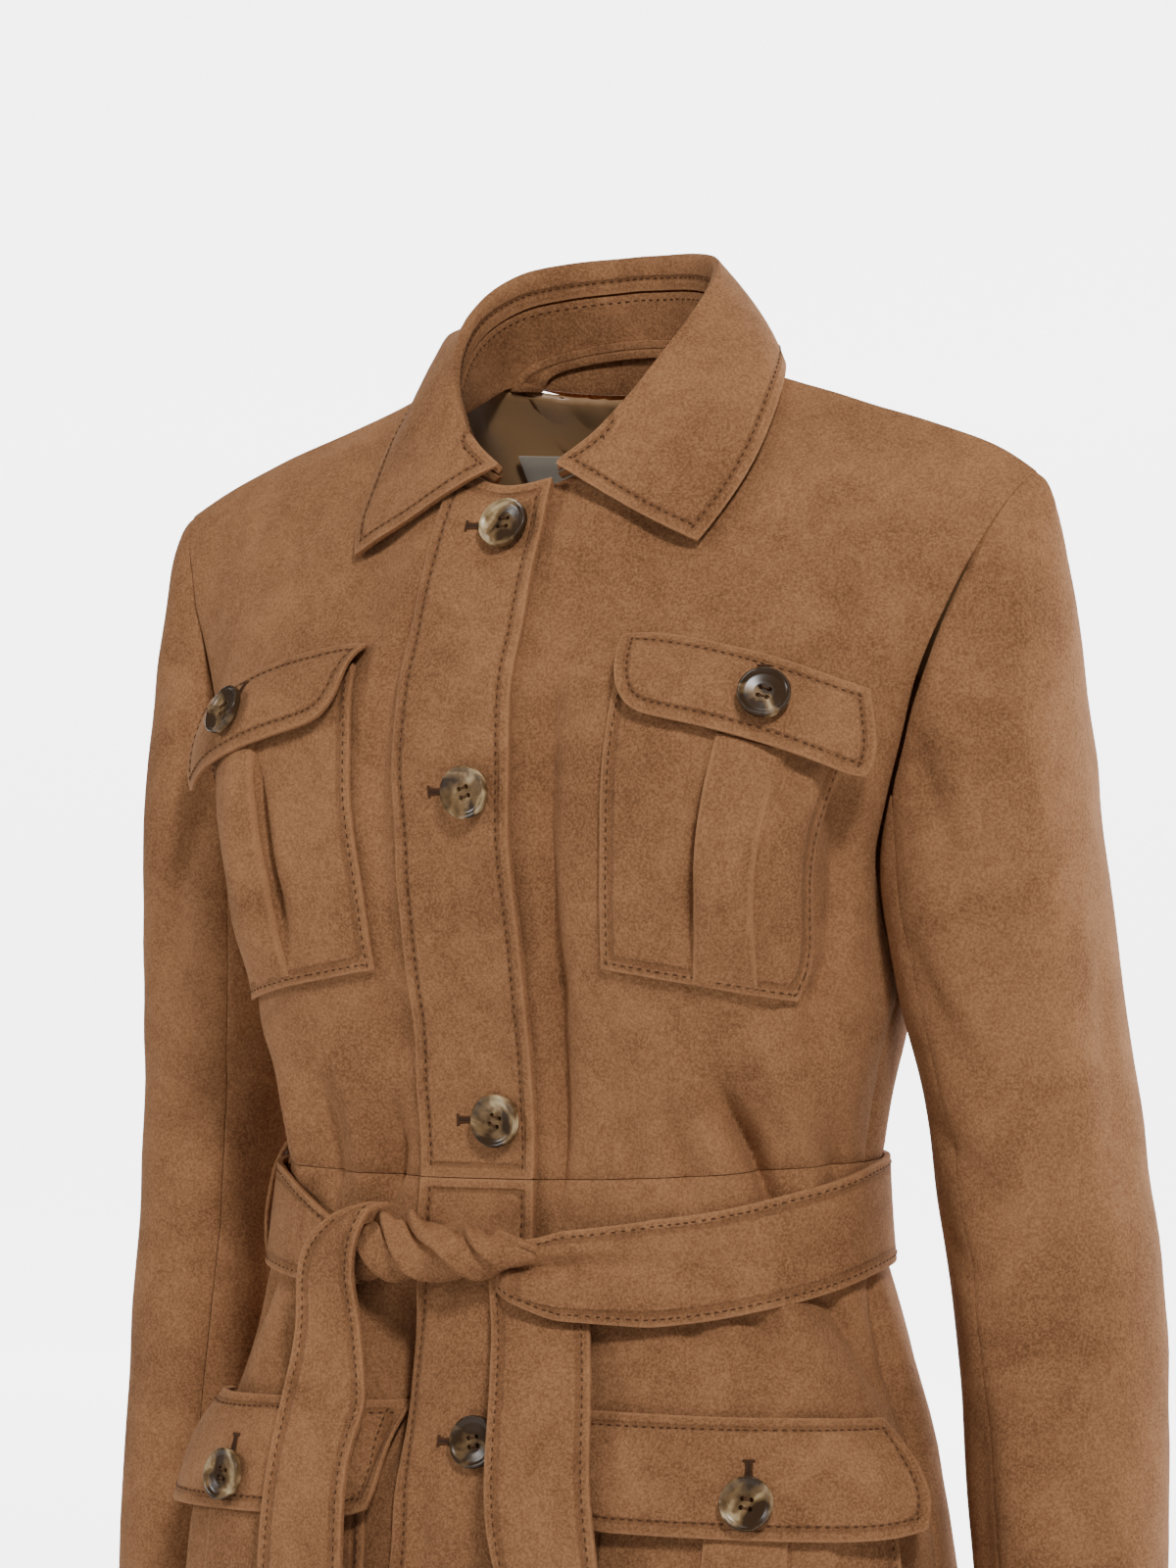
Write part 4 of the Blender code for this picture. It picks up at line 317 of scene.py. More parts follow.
class JacketButtonSettings(bpy.types.PropertyGroup):
    radius: length_setting("Button radius", "Outer radius of each button", 0.0112, 0.005, 0.02)
    horn_dark: colour_setting("Horn dark", "Dark marbling of the horn", (0.045, 0.024, 0.011))
    horn_light: colour_setting("Horn light", "Pale marbling of the horn", (0.780, 0.600, 0.340))


class JacketStageSettings(bpy.types.PropertyGroup):
    floor_height: length_setting("Floor height", "Height of the studio floor", -0.95, -3, 0)
    paper_glow: bpy.props.FloatProperty(
        name="Backdrop glow", description="How much the backdrop is lit from behind",
        default=4.0, min=0, max=12,
    )
    paper: colour_setting("Backdrop", "Colour of the floor and backdrop", (0.90, 0.90, 0.90))


# ---------------------------------------------------------------- small helpers


def deselect():
    bpy.ops.object.select_all(action="DESELECT")


def make_active(thing):
    deselect()
    thing.select_set(True)
    bpy.context.view_layer.objects.active = thing


def linked(name, data):
    """A new object in the scene."""
    made = bpy.data.objects.new(name, data)
    bpy.context.scene.collection.objects.link(made)
    return made


def applied(thing, modifier):
    make_active(thing)
    bpy.ops.object.modifier_apply(modifier=modifier.name)


def turned_outward(thing):
    """Every face of a closed skin looks out."""
    make_active(thing)
    bpy.ops.object.mode_set(mode="EDIT")
    bpy.ops.mesh.select_all(action="SELECT")
    bpy.ops.mesh.normals_make_consistent(inside=False)
    bpy.ops.object.mode_set(mode="OBJECT")


def smooth_step(low, high, value):
    t = np.clip((value - low) / (high - low), 0.0, 1.0)
    return t * t * (3.0 - 2.0 * t)


def unit(vectors):
    return vectors / np.maximum(np.linalg.norm(vectors, axis=-1, keepdims=True), 1e-12)


def points_of(mesh):
    flat = np.empty(3 * len(mesh.vertices))
    mesh.vertices.foreach_get("co", flat)
    return flat.reshape(-1, 3)


def put_points(mesh, points):
    mesh.vertices.foreach_set("co", np.ascontiguousarray(points).ravel())
    mesh.update()


def ways_along(line):
    """The direction of a closed line at each of its points."""
    return unit(np.roll(line, -3, axis=0) - np.roll(line, 3, axis=0))


def corners_of(node):
    """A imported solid's corners in the shared frame."""
    source = bpy.data.objects[node]
    return np.array([source.matrix_world @ v.co for v in source.data.vertices])


def outward_at(points, region):
    """The way the cloth faces, from where it lies round the body or an arm."""
    away = np.zeros_like(points)
    if region == "body":
        away[:, 0] = points[:, 0] / BODY_AXES[0] ** 2
        away[:, 1] = points[:, 1] / BODY_AXES[1] ** 2
        return unit(away)
    side = 1.0 if region == "left_arm" else -1.0
    heights, sideways, backward = np.array(ARM_CENTRES)[::-1].T
    away[:, 0] = points[:, 0] - side * np.interp(points[:, 2], heights, sideways)
    away[:, 1] = points[:, 1] - np.interp(points[:, 2], heights, backward)
    return unit(away)


def crease_amount(points, crease):
    """How far one crease moves the cloth at each point."""
    line = crease.end - crease.start
    length = np.linalg.norm(line)
    way = line / length
    offset = points - crease.start
    along = offset @ way / length
    out = outward_at((crease.start + 0.5 * line)[None], crease.region)[0]
    across_way = unit(np.cross(way, out))
    inside = np.clip(along, 0, 1)
    across = offset @ across_way - crease.bend * 4 * inside * (1 - inside)
    fade = smooth_step(*CREASE_RISE, along) * (1 - smooth_step(*CREASE_FALL, along))
    near = np.exp(-((offset @ out / CREASE_REACH) ** 2))
    taper = crease.width * (CREASE_NARROW + CREASE_WIDEN * inside)
    return crease.depth * fade * near * np.exp(-(np.abs(across / taper) ** CREASE_FALLOFF))


def ripple(points, seed):
    """Slow unevenness of a soft skin, the same for every layer that lies there."""
    shift = Vector((seed, 2.0 * seed, 3.0 * seed))
    return np.array([noise.noise(Vector(p) / RIPPLE_SIZE + shift) for p in points])


def laid_in_creases(points, region, depth):
    """Points moved by all of a region's creases and its slow ripple."""
    amount = np.zeros(len(points))
    for crease in CREASES:
        if crease.region == region:
            amount += crease_amount(points, crease)
    calm = 1.0
    if region == "body":
        calm = 1 - BELT_CALM * np.exp(-(((points[:, 2] - BELT_HEIGHT) / BELT_CALM_WIDTH) ** 2))
    amount = amount * calm + RIPPLE_DEPTH * ripple(points, RIPPLE_SEED)
    share = depth if region == "body" else ARM_SHARE * depth
    return points + outward_at(points, region) * (amount * share)[:, None]


def region_of(node):
    if node.startswith("sleeve_left"):
        return "left_arm"
    if node.startswith("sleeve_right"):
        return "right_arm"
    return "body"


def follows_creases(node):
    return not node.startswith(("collar", "hanger", "belt", "neck"))


# ---------------------------------------------------------------- cloth pieces


def copied_quads(node):
    """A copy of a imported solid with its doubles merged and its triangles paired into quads."""
    source = bpy.data.objects[node]
    mesh = source.data.copy()
    mesh.name = piece_name(node)
    piece = linked(piece_name(node), mesh)
    mesh.transform(source.matrix_world)
    make_active(piece)
    bpy.ops.object.mode_set(mode="EDIT")
    bpy.ops.mesh.select_all(action="SELECT")
    bpy.ops.mesh.remove_doubles(threshold=DOUBLES)
    bpy.ops.mesh.tris_convert_to_quads(face_threshold=QUAD_ANGLE, shape_threshold=QUAD_ANGLE)
    bpy.ops.object.mode_set(mode="OBJECT")
    return piece


def rim_faces(bm):
    """Faces of the wall's thickness, with the leftover ones that carry it on."""
    found = {face for face in bm.faces if len(face.edges) == 4 and is_rim(face)}
    for _ in range(RIM_PASSES):
        found |= {face for face in bm.faces if face not in found and joins_rim(face, found)}
    return found


def is_rim(face):
    """Whether a face is thin and stands square between two faces that look opposite ways."""
    sides = [[g for g in e.link_faces if g != face] for e in face.edges]
    lengths = [e.calc_length() for e in face.edges]
    for a, b in ((0, 2), (1, 3)):
        if len(sides[a]) != 1 or len(sides[b]) != 1:
            continue
        one, two = sides[a][0].normal, sides[b][0].normal
        square = max(abs(face.normal.dot(one)), abs(face.normal.dot(two))) < RIM_SQUARE
        thin = 0.5 * (lengths[(a + 1) % 4] + lengths[(a + 3) % 4]) < RIM_THICK
        if one.dot(two) < RIM_OPPOSITE and square and thin:
            return True
    return False


def joins_rim(face, rims):
    """Whether a leftover face carries the wall's thickness on, next to faces that do."""
    edges = list(face.edges)
    longest = max(e.calc_length() for e in edges)
    if face.calc_area() / longest > RIM_THICK:
        return False
    short = any(e.calc_length() < RIM_SHORT and any(g in rims for g in e.link_faces) for e in edges)
    beside = [g for e in edges for g in e.link_faces if g != face and g not in rims]
    return short and any(abs(g.normal.dot(face.normal)) < RIM_BEND for g in beside)


def outer_side(bm, rims, node):
    """The faces of the side that shows, found by flooding from each wall face past the rim."""
    left = {f for f in bm.faces if f not in rims}
    sides = []
    while left:
        patch, edge = set(), [left.pop()]
        while edge:
            face = edge.pop()
            patch.add(face)
            for e in face.edges:
                for other in e.link_faces:
                    if other in left:
                        left.discard(other)
                        edge.append(other)
        sides.append(patch)
    if node == "collar_stand":
        return min(sides, key=lambda s: sum(f.calc_area() for f in s))
    if node.startswith(AREA_PIECES):
        return max(sides, key=lambda s: sum(f.calc_area() for f in s))

    def facing(patch):
        total = 0.0
        for f in patch:
            c = f.calc_center_median()
            total += f.calc_area() * (f.normal.x * c.x / BODY_AXES[0] + f.normal.y * c.y / BODY_AXES[1])
        return total

    return max(sides, key=facing)


def refined_rims(mesh):
    """Closed lines of points round the side that shows, read from the smoothed mesh."""
    shows = np.empty(len(mesh.vertices))
    mesh.attributes["shows"].data.foreach_get("value", shows)
    ahead = {}
    for face in mesh.polygons:
        ring = list(face.vertices)
        if min(shows[v] for v in ring) < SHOWN:
            continue
        for a, b in zip(ring, ring[1:] + ring[:1]):
            if (b, a) in ahead:
                del ahead[b, a]
            else:
                ahead[a, b] = True
    after = {a: b for a, b in ahead}
    points = points_of(mesh)
    lines = []
    while after:
        start = next(iter(after))
        line = [start]
        at = after.pop(start)
        while at in after:
            line.append(at)
            at = after.pop(at)
        if len(line) > SHORTEST_LOOP:
            lines.append(points[line])
    return lines


def dense(points, step=0.0008):
    """A closed line of points, filled in evenly."""
    ring = np.vstack([points, points[:1]])
    arcs = np.concatenate([[0.0], np.cumsum(np.linalg.norm(np.diff(ring, axis=0), axis=1))])
    at = np.arange(0, arcs[-1], step)
    return np.stack([np.interp(at, arcs, ring[:, k]) for k in range(3)], -1)


# What the cloth pieces leave for the sewing: their rim lines, and a search tree of the side that shows.
RIMS = {}
SURFACES = {}


def mark_rims(piece, node):
    """Crease the wall's edges, so that smoothing keeps them, and mark the side that shows."""
    mesh = piece.data
    bm = bmesh.new()
    bm.from_mesh(mesh)
    bm.faces.ensure_lookup_table()
    bm.verts.ensure_lookup_table()
    rims = rim_faces(bm)
    outer = outer_side(bm, rims, node)
    crease = bm.edges.layers.float.new("crease_edge")
    corner = bm.verts.layers.float.new("crease_vert")
    shows = bm.verts.layers.float.new("shows")
    for edge in bm.edges:
        kinds = [f in rims for f in edge.link_faces]
        if any(kinds) and not all(kinds):
            edge[crease] = 1.0
        elif len(edge.link_faces) == 2 and edge.calc_face_angle(0.0) > SHARP_ABOVE:
            edge[crease] = SOFT_CREASE
    for vert in bm.verts:
        sharp = [e for e in vert.link_edges if e[crease] > 0.9]
        if len(sharp) == 2:
            a = (sharp[0].other_vert(vert).co - vert.co).normalized()
            b = (sharp[1].other_vert(vert).co - vert.co).normalized()
            if a.dot(b) > CORNER_TURN:
                vert[corner] = 1.0
    for face in outer:
        for vert in face.verts:
            vert[shows] = 1.0
    bm.to_mesh(mesh)
    bm.free()


def edge_distance(points, lines):
    """Distance from each point to the nearest rim line."""
    found = np.full(len(points), 1.0)
    for line in lines:
        tree = BVHTree.FromPolygons(
            [tuple(p) for p in line], [(i, (i + 1) % len(line), i) for i in range(len(line))]
        )
        for i, point in enumerate(points):
            hit = tree.find_nearest(Vector(point))
            if hit[3] is not None:
                found[i] = min(found[i], hit[3])
    return found


def smoothed(piece, level):
    subsurf = piece.modifiers.new("smooth", "SUBSURF")
    subsurf.levels = level
    subsurf.render_levels = level
    subsurf.boundary_smooth = "PRESERVE_CORNERS"
    applied(piece, subsurf)


def make_cloth(cut, settings):
    """One cut piece: smooth copy of its solid with creases and a rim attribute."""
    node = cut.node
    piece = copied_quads(node)
    mark_rims(piece, node)
    smoothed(piece, settings.smoothness + (1 if node.startswith(FINE_PIECES) else 0))
    mesh = piece.data
    points = points_of(mesh)
    region = region_of(node)
    lines = [dense(line) for line in refined_rims(mesh)]
    rim = edge_distance(points, lines)
    if node.startswith(SEAMED_PIECES):
        ditch = SEAM_DITCH * np.exp(-((rim / SEAM_DITCH_WIDTH) ** 2))
        points = points - outward_at(points, region) * ditch[:, None]
        rim = np.full(len(points), NO_RIM)
    if follows_creases(node):
        points = laid_in_creases(points, region, settings.crease_depth)
        lines = [laid_in_creases(line, region, settings.crease_depth) for line in lines]
    if node == "belt_band":
        points = band_turned(points)
        lines = [band_turned(line) for line in lines]
    put_points(mesh, points)
    RIMS[node] = lines
    layer = mesh.attributes.new("rim", "FLOAT", "POINT")
    layer.data.foreach_set("value", rim)
    round_edges(piece)
    SURFACES[node] = surface_tree(piece.data)
    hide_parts(node)
    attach(piece, "root")
    return piece


def round_edges(piece):
    """Small rounds on the wall's edges, then smooth shading."""
    bevel = piece.modifiers.new("edges", "BEVEL")
    bevel.width = EDGE_ROUND
    bevel.segments = 2
    bevel.limit_method = "ANGLE"
    bevel.angle_limit = ROUNDED_ABOVE
    applied(piece, bevel)
    bpy.ops.object.shade_smooth_by_angle(angle=SMOOTH_BELOW)


# The belt's front ends: where the turn starts and stops, and along it the height of the band's middle,
# how far its edges close and how far it rises.
BAND_FRONT = -0.02
BAND_HALF = 0.022
BAND_FOOT = -0.346
NEAR_FROM = 0.118
NEAR_TO = 0.0465
NEAR_MIDDLE = ((0.046, -0.3400), (0.066, -0.3385), (0.100, -0.3340), (0.150, -0.3240))
NEAR_CLOSE = ((0.0, 1.0), (0.45, 1.0), (0.75, 0.84), (0.92, 0.48), (1.0, 0.16))
NEAR_DROP = ((0.0, 0.0), (0.5, 0.0), (0.8, 0.0012), (1.0, 0.0060))
FAR_FROM = -0.122
FAR_LENGTH = 0.056
BAND_HEIGHT = 0.046
# The near end's pull to its side, its way forward, its dive, and the groove and roll along it.
NEAR_PULL = 0.054
NEAR_FORWARD = 0.0095
NEAR_POWER = 2.2
NEAR_DIVE = 0.0150
NEAR_DIVE_RUN = (0.86, 1.0)
GROOVE_DEPTH = 0.0042
GROOVE_WIDTH = 0.24
GROOVE_RUN = (0.15, 0.75)
ROLL_DEPTH = 0.0030
ROLL_AT = 0.62
ROLL_WIDTH = 0.26
UNDER_TUCK = 0.0022
# The far end's lower edge up, its upper edge down, and all of it in and back.
FAR_UP = 0.0050
FAR_DOWN = 0.0230
FAR_IN = 0.0060
FAR_BACK = 0.0040


def band_turned(points):
    """The belt's two front ends drawn in to the knot."""
    moved = points.copy()
    front = points[:, 1] < BAND_FRONT
    near_end_turned(points, moved, front & (points[:, 0] > 0.0))
    far_end_turned(points, moved, front & (points[:, 0] < 0.0))
    return moved


def near_end_turned(points, moved, here):
    """The left end: narrowed towards its own middle, folded in and brought forward, then let dive."""
    t = np.where(here, np.clip((NEAR_FROM - points[:, 0]) / (NEAR_FROM - NEAR_TO), 0, 1), 0.0)
    pull = t * t * (3 - 2 * t)
    middle = np.interp(points[:, 0], *zip(*NEAR_MIDDLE))
    high = (points[:, 2] - middle) / BAND_HALF
    close = np.interp(t, *zip(*NEAR_CLOSE))
    drop = np.interp(t, *zip(*NEAR_DROP))
    moved[:, 0] -= NEAR_PULL * t ** NEAR_POWER
    moved[:, 2] += (middle + high * BAND_HALF * close + drop - points[:, 2]) * np.minimum(1, 3 * t)
    groove = np.exp(-(((high + 0.02 - 0.30 * t) / GROOVE_WIDTH) ** 2))
    roll = np.exp(-(((high - ROLL_AT) / ROLL_WIDTH) ** 2))
    forward = NEAR_FORWARD * t ** NEAR_POWER - NEAR_DIVE * smooth_step(*NEAR_DIVE_RUN, t)
    forward = forward - GROOVE_DEPTH * groove * smooth_step(*GROOVE_RUN, t) + ROLL_DEPTH * roll * pull
    forward -= UNDER_TUCK * np.clip(-high, 0, 1.2) ** 2 * pull
    moved[:, 1] -= forward * (t > 0)


def far_end_turned(points, moved, here):
    """The right end: its upper edge led down and the whole of it drawn in behind the knot."""
    run = np.where(here, np.clip((points[:, 0] - FAR_FROM) / FAR_LENGTH, 0, 1), 0.0)
    above = np.clip((points[:, 2] - BAND_FOOT) / BAND_HEIGHT, 0, 1.1)
    moved[:, 2] += FAR_UP * run ** 2 * (1 - above) - FAR_DOWN * run ** 1.2 * above
    moved[:, 0] -= FAR_IN * run ** 3
    moved[:, 1] += FAR_BACK * run ** 3


def surface_tree(mesh):
    shows = np.empty(len(mesh.vertices))
    mesh.attributes["shows"].data.foreach_get("value", shows)
    faces = [tuple(p.vertices) for p in mesh.polygons if min(shows[v] for v in p.vertices) > SHOWN]
    return BVHTree.FromPolygons([v.co.copy() for v in mesh.vertices], faces)


def cuts_named(*starts):
    return [cut for cut in CUTS if cut.node.startswith(starts)]


def dress(cuts, finish):
    settings = bpy.context.scene.jacket_cloth
    for cut in cuts:
        piece = make_cloth(cut, settings)
        piece.data.materials.clear()
        piece.data.materials.append(finish())


# ---------------------------------------------------------------- materials


def material(name):
    """Turns a function that lays out nodes into one that gives the named material, made once."""

    def named(lay_out):
        def give():
            made = bpy.data.materials.get(name)
            if made is None:
                made = bpy.data.materials.new(name)
                made.use_nodes = True
                tree = made.node_tree
                place = tree.nodes.new("ShaderNodeTexCoord").outputs["Object"]
                lay_out(tree, tree.nodes["Principled BSDF"], place)
            return made

        return give

    return named


def add_node(tree, kind, **values):
    node = tree.nodes.new(kind)
    for key, value in values.items():
        if key in node.inputs:
            node.inputs[key].default_value = value
        else:
            setattr(node, key, value)
    return node


def set_inputs(node, values):
    for key, value in values.items():
        node.inputs[key].default_value = value


def feed(tree, socket, value):
    """A socket gets a link or a plain value."""
    if isinstance(value, bpy.types.NodeSocket):
        tree.links.new(value, socket)
    else:
        socket.default_value = value


def opaque(colour, share=1.0):
    return tuple(share * c for c in colour) + (1.0,)


def mix_colours(tree, factor, one, two):
    mix = tree.nodes.new("ShaderNodeMix")
    mix.data_type = "RGBA"
    for index, value in ((0, factor), (6, one), (7, two)):
        feed(tree, mix.inputs[index], value)
    return mix.outputs[2]


def noise_value(tree, vector, scale, detail, roughness=0.5, distortion=0.0):
    node = add_node(
        tree, "ShaderNodeTexNoise", Scale=scale, Detail=detail, Roughness=roughness, Distortion=distortion,
    )
    tree.links.new(vector, node.inputs["Vector"])
    return node.outputs["Fac"]


def wave_value(tree, vector, **values):
    node = add_node(tree, "ShaderNodeTexWave", **values)
    tree.links.new(vector, node.inputs["Vector"])
    return node.outputs["Fac"]


def spread_value(tree, value, low, high, out_low=0.0, out_high=1.0):
    node = tree.nodes.new("ShaderNodeMapRange")
    node.interpolation_type = "SMOOTHSTEP"
    for socket, number in zip(node.inputs[1:5], (low, high, out_low, out_high)):
        socket.default_value = number
    tree.links.new(value, node.inputs[0])
    return node.outputs[0]


def combine(tree, operation, one, two):
    node = tree.nodes.new("ShaderNodeMath")
    node.operation = operation
    feed(tree, node.inputs[0], one)
    feed(tree, node.inputs[1], two)
    return node.outputs[0]


def weighted(tree, first, *others):
    """The sum of values, each times its weight."""
    total = combine(tree, "MULTIPLY", *first)
    for pair in others:
        total = combine(tree, "ADD", total, combine(tree, "MULTIPLY", *pair))
    return total


def bump(tree, height, strength, distance, under=None, invert=False):
    """A bump of the surface, laid over another one if that is given."""
    node = add_node(tree, "ShaderNodeBump", Strength=strength, Distance=distance, invert=invert)
    tree.links.new(height, node.inputs["Height"])
    if under is not None:
        tree.links.new(under, node.inputs["Normal"])
    return node.outputs["Normal"]


# The suede's unevenness, from broad patches and brushed strokes to the nap and its grain.
Layer = namedtuple("Layer", "scale detail roughness distortion low high share")
SUEDE_LAYERS = (
    Layer(15.0, 3.0, 0.60, 0.9, 0.30, 0.70, 0.26),
    Layer(42.0, 5.0, 0.65, 1.2, 0.28, 0.74, 0.17),
    Layer(300.0, 4.0, 0.75, 0.4, 0.34, 0.68, 0.09),
    Layer(900.0, 2.0, 0.70, 0.0, 0.32, 0.70, 0.48),
)


@material("tan suede nap")
def suede(tree, shader, place):
    """Napped suede: brushed patches, pin-point grain, a painted highlight along the edges and a pressed
    sewing line with painted shade in it.
    """
    settings = bpy.context.scene.jacket_cloth
    light = opaque(settings.suede_light)
    dark = opaque(settings.suede_dark)
    values = []
    for layer in SUEDE_LAYERS:
        uneven = noise_value(tree, place, layer.scale, layer.detail, layer.roughness, layer.distortion)
        values.append(spread_value(tree, uneven, layer.low, layer.high))
    shares = weighted(tree, *((value, layer.share) for value, layer in zip(values, SUEDE_LAYERS)))
    colour = mix_colours(tree, shares, dark, light)
    nap, grain = values[2:]
    rim = add_node(tree, "ShaderNodeAttribute", attribute_name="rim").outputs["Fac"]
    # Painted highlight: within 2 mm of an edge the colour turns towards the light suede.
    colour = mix_colours(tree, spread_value(tree, rim, 0.0002, 0.0020, 0.42, 0.0), colour, light)
    # Painted shade in the sewing groove 3.4 to 7.2 mm in from an edge; the bump below presses the same
    # groove in.
    before = spread_value(tree, rim, 0.0034, 0.0048)
    past = spread_value(tree, rim, 0.0072, 0.0056)
    sewing_groove_and_shade = combine(tree, "MULTIPLY", before, past)
    colour = mix_colours(tree, combine(tree, "MULTIPLY", sewing_groove_and_shade, 0.40), colour, dark)
    tree.links.new(colour, shader.inputs["Base Color"])
    set_inputs(shader, {
        "Roughness": 0.95,
        "Specular IOR Level": 0.12,
        "Sheen Weight": 0.10,
        "Sheen Roughness": 0.5,
        "Sheen Tint": (0.85, 0.52, 0.30, 1.0),
    })
    fine = bump(tree, weighted(tree, (nap, 0.6), (grain, 0.4)), 0.55, 0.0005)
    soft = bump(tree, noise_value(tree, place, 48.0, 3.0, 0.5), 0.5, 0.0030, fine)
    sewn = bump(tree, sewing_groove_and_shade, 0.8, 0.0009, soft, invert=True)
    tree.links.new(sewn, shader.inputs["Normal"])


@material("tan satin lining")
def satin(tree, shader, place):
    """Lining satin: fine warp lines and a soft gloss."""
    base = bpy.context.scene.jacket_cloth.satin
    warp = wave_value(tree, place, Scale=900.0, Distortion=0.4, Detail=1.0)
    tree.links.new(mix_colours(tree, warp, opaque(base, 0.8), opaque(base)), shader.inputs["Base Color"])
    set_inputs(shader, {"Roughness": 0.42})
    tree.links.new(bump(tree, noise_value(tree, place, 120.0, 3.0), 0.25, 0.0003), shader.inputs["Normal"])


@material("grey woven tape")
def tape(tree, shader, place):
    """Bare woven tape with a crossed weave."""
    base = bpy.context.scene.jacket_cloth.tape
    warp = wave_value(tree, place, Scale=700.0)
    weft = wave_value(tree, place, Scale=700.0, bands_direction="Z")
    weave = combine(tree, "MAXIMUM", warp, weft)
    tree.links.new(mix_colours(tree, weave, opaque(base, 0.7), opaque(base)), shader.inputs["Base Color"])
    set_inputs(shader, {"Roughness": 0.85})
    tree.links.new(bump(tree, weave, 0.4, 0.0002), shader.inputs["Normal"])


@material("tonal thread")
def thread(tree, shader, place):
    """Tonal polyester sewing thread, slightly glossy."""
    base = bpy.context.scene.jacket_stitches.thread
    ply = noise_value(tree, place, 2600.0, 1.0)
    tree.links.new(mix_colours(tree, ply, opaque(base, 0.7), opaque(base, 1.3)), shader.inputs["Base Color"])
    set_inputs(shader, {"Roughness": 0.8, "Specular IOR Level": 0.15})


@material("painted slit shade")
def painted_slit_shade(tree, shader, place):
    """Painted shade: the dark inside of a worked hole."""
    mottled = noise_value(tree, place, 1500.0, 1.0)
    colour = mix_colours(tree, mottled, (0.030, 0.014, 0.008, 1.0), (0.060, 0.028, 0.014, 1.0))
    tree.links.new(colour, shader.inputs["Base Color"])
    set_inputs(shader, {"Roughness": 0.9})


@material("marbled horn gloss")
def horn(tree, shader, place):
    """Marbled horn: dark and milky bands under a polish."""
    settings = bpy.context.scene.jacket_buttons
    cloud = noise_value(tree, place, 62.0, 2.0, 0.45, 1.2)
    vein = noise_value(tree, place, 260.0, 3.0, 0.6, 0.8)
    ramp = tree.nodes.new("ShaderNodeValToRGB")
    first, last = ramp.color_ramp.elements
    first.position = 0.45
    first.color = opaque(settings.horn_dark)
    last.position = 0.70
    last.color = opaque(settings.horn_light)
    ramp.color_ramp.elements.new(0.55).color = (0.210, 0.125, 0.055, 1.0)
    tree.links.new(weighted(tree, (cloud, 0.86), (vein, 0.14)), ramp.inputs["Fac"])
    tree.links.new(ramp.outputs["Color"], shader.inputs["Base Color"])
    set_inputs(shader, {"Roughness": 0.26, "Specular IOR Level": 0.35})


# ---------------------------------------------------------------- stitches


# How near another edge a stitch may come, as a share of its own inset, and what counts as a strip's side.
STITCH_CLEAR = 0.84
ALONG_STRIP = 0.55
UPRIGHT_END = 0.75
STITCH_SHARE = 0.70
# The row on the stand: how far under the seam it runs, and how near that seam is to the stand.
STAND_INSET = 0.0042
STAND_SEAM = 0.004
# The bead of thread that stands for a stitch: its lift, where its two rings are, and its sunk ends.
BEAD_LIFT = 0.25
BEAD_RINGS = (-0.28, 0.28)
BEAD_SINK = 0.3


def walk(tree, line, inset, side):
    """A rim's points moved in along the surface: place, normal and direction, and which are kept."""
    ahead = ways_along(line)
    places = []
    kept = []
    for point, way in zip(line, ahead):
        start = Vector(point)
        normal = tree.find_nearest(start)[1]
        for _ in range(2):
            inward = Vector(way).cross(normal).normalized() * side
            spot, normal, _, _ = tree.find_nearest(start + inward * inset)
        spot = np.array(spot)
        places.append((spot, np.array(normal), way))
        kept.append(np.min(np.linalg.norm(line[::2] - spot, axis=1)) > inset * STITCH_CLEAR)
    return places, kept


def long_edge_mask(line, ahead):
    """The parts of a rim that run along a strip and not across its ends."""
    chunk = line - line.mean(axis=0)
    _, _, axes = np.linalg.svd(chunk[::5], full_matrices=False)
    return np.abs(ahead @ axes[0]) > ALONG_STRIP


def stitch_places(node, inset, edges, pitch):
    """Places, normals and directions of the stitches of one piece."""
    tree = SURFACES[node]
    found = []
    for line in RIMS[node]:
        ahead = ways_along(line)
        places, kept = walk(tree, line, inset, side_of(tree, line, inset))
        mask = np.ones(len(line), bool)
        if edges == "long":
            if node == "belt_band":
                mask = np.abs(ahead[:, 2]) < UPRIGHT_END
            else:
                mask = long_edge_mask(line, ahead)
        last = None
        travelled = 0.0
        for place, keep, allowed in zip(places, kept, mask):
            if not keep or not allowed:
                last = None
                continue
            if last is not None:
                travelled += float(np.linalg.norm(place[0] - last))
            if last is None or travelled >= pitch:
                found.append(place)
                travelled = 0.0
            last = place[0]
    return found


def side_of(tree, line, inset):
    """Which way is in: the side on which the surface goes on."""
    votes = 0
    ahead = ways_along(line)
    for i in range(0, len(line), max(1, len(line) // 60)):
        hit = tree.find_nearest(Vector(line[i]))
        inward = Vector(ahead[i]).cross(hit[1]).normalized() * inset
        one = tree.find_nearest(Vector(line[i]) + inward)[3]
        two = tree.find_nearest(Vector(line[i]) - inward)[3]
        votes += 1 if one < two else -1
    return 1.0 if votes > 0 else -1.0


def stitch_mesh(name, places, length, thick, finish=thread):
    """Low beads of thread, all in one mesh."""
    points, faces = [], []
    for spot, normal, ahead in places:
        add_bead(points, faces, spot, normal, ahead, length, thick)
    mesh = bpy.data.meshes.new(name)
    mesh.from_pydata([tuple(p) for p in points], [], faces)
    mesh.materials.append(finish())
    mesh.shade_smooth()
    made = linked(name, mesh)
    turned_outward(made)
    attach(made, "root")
    return made


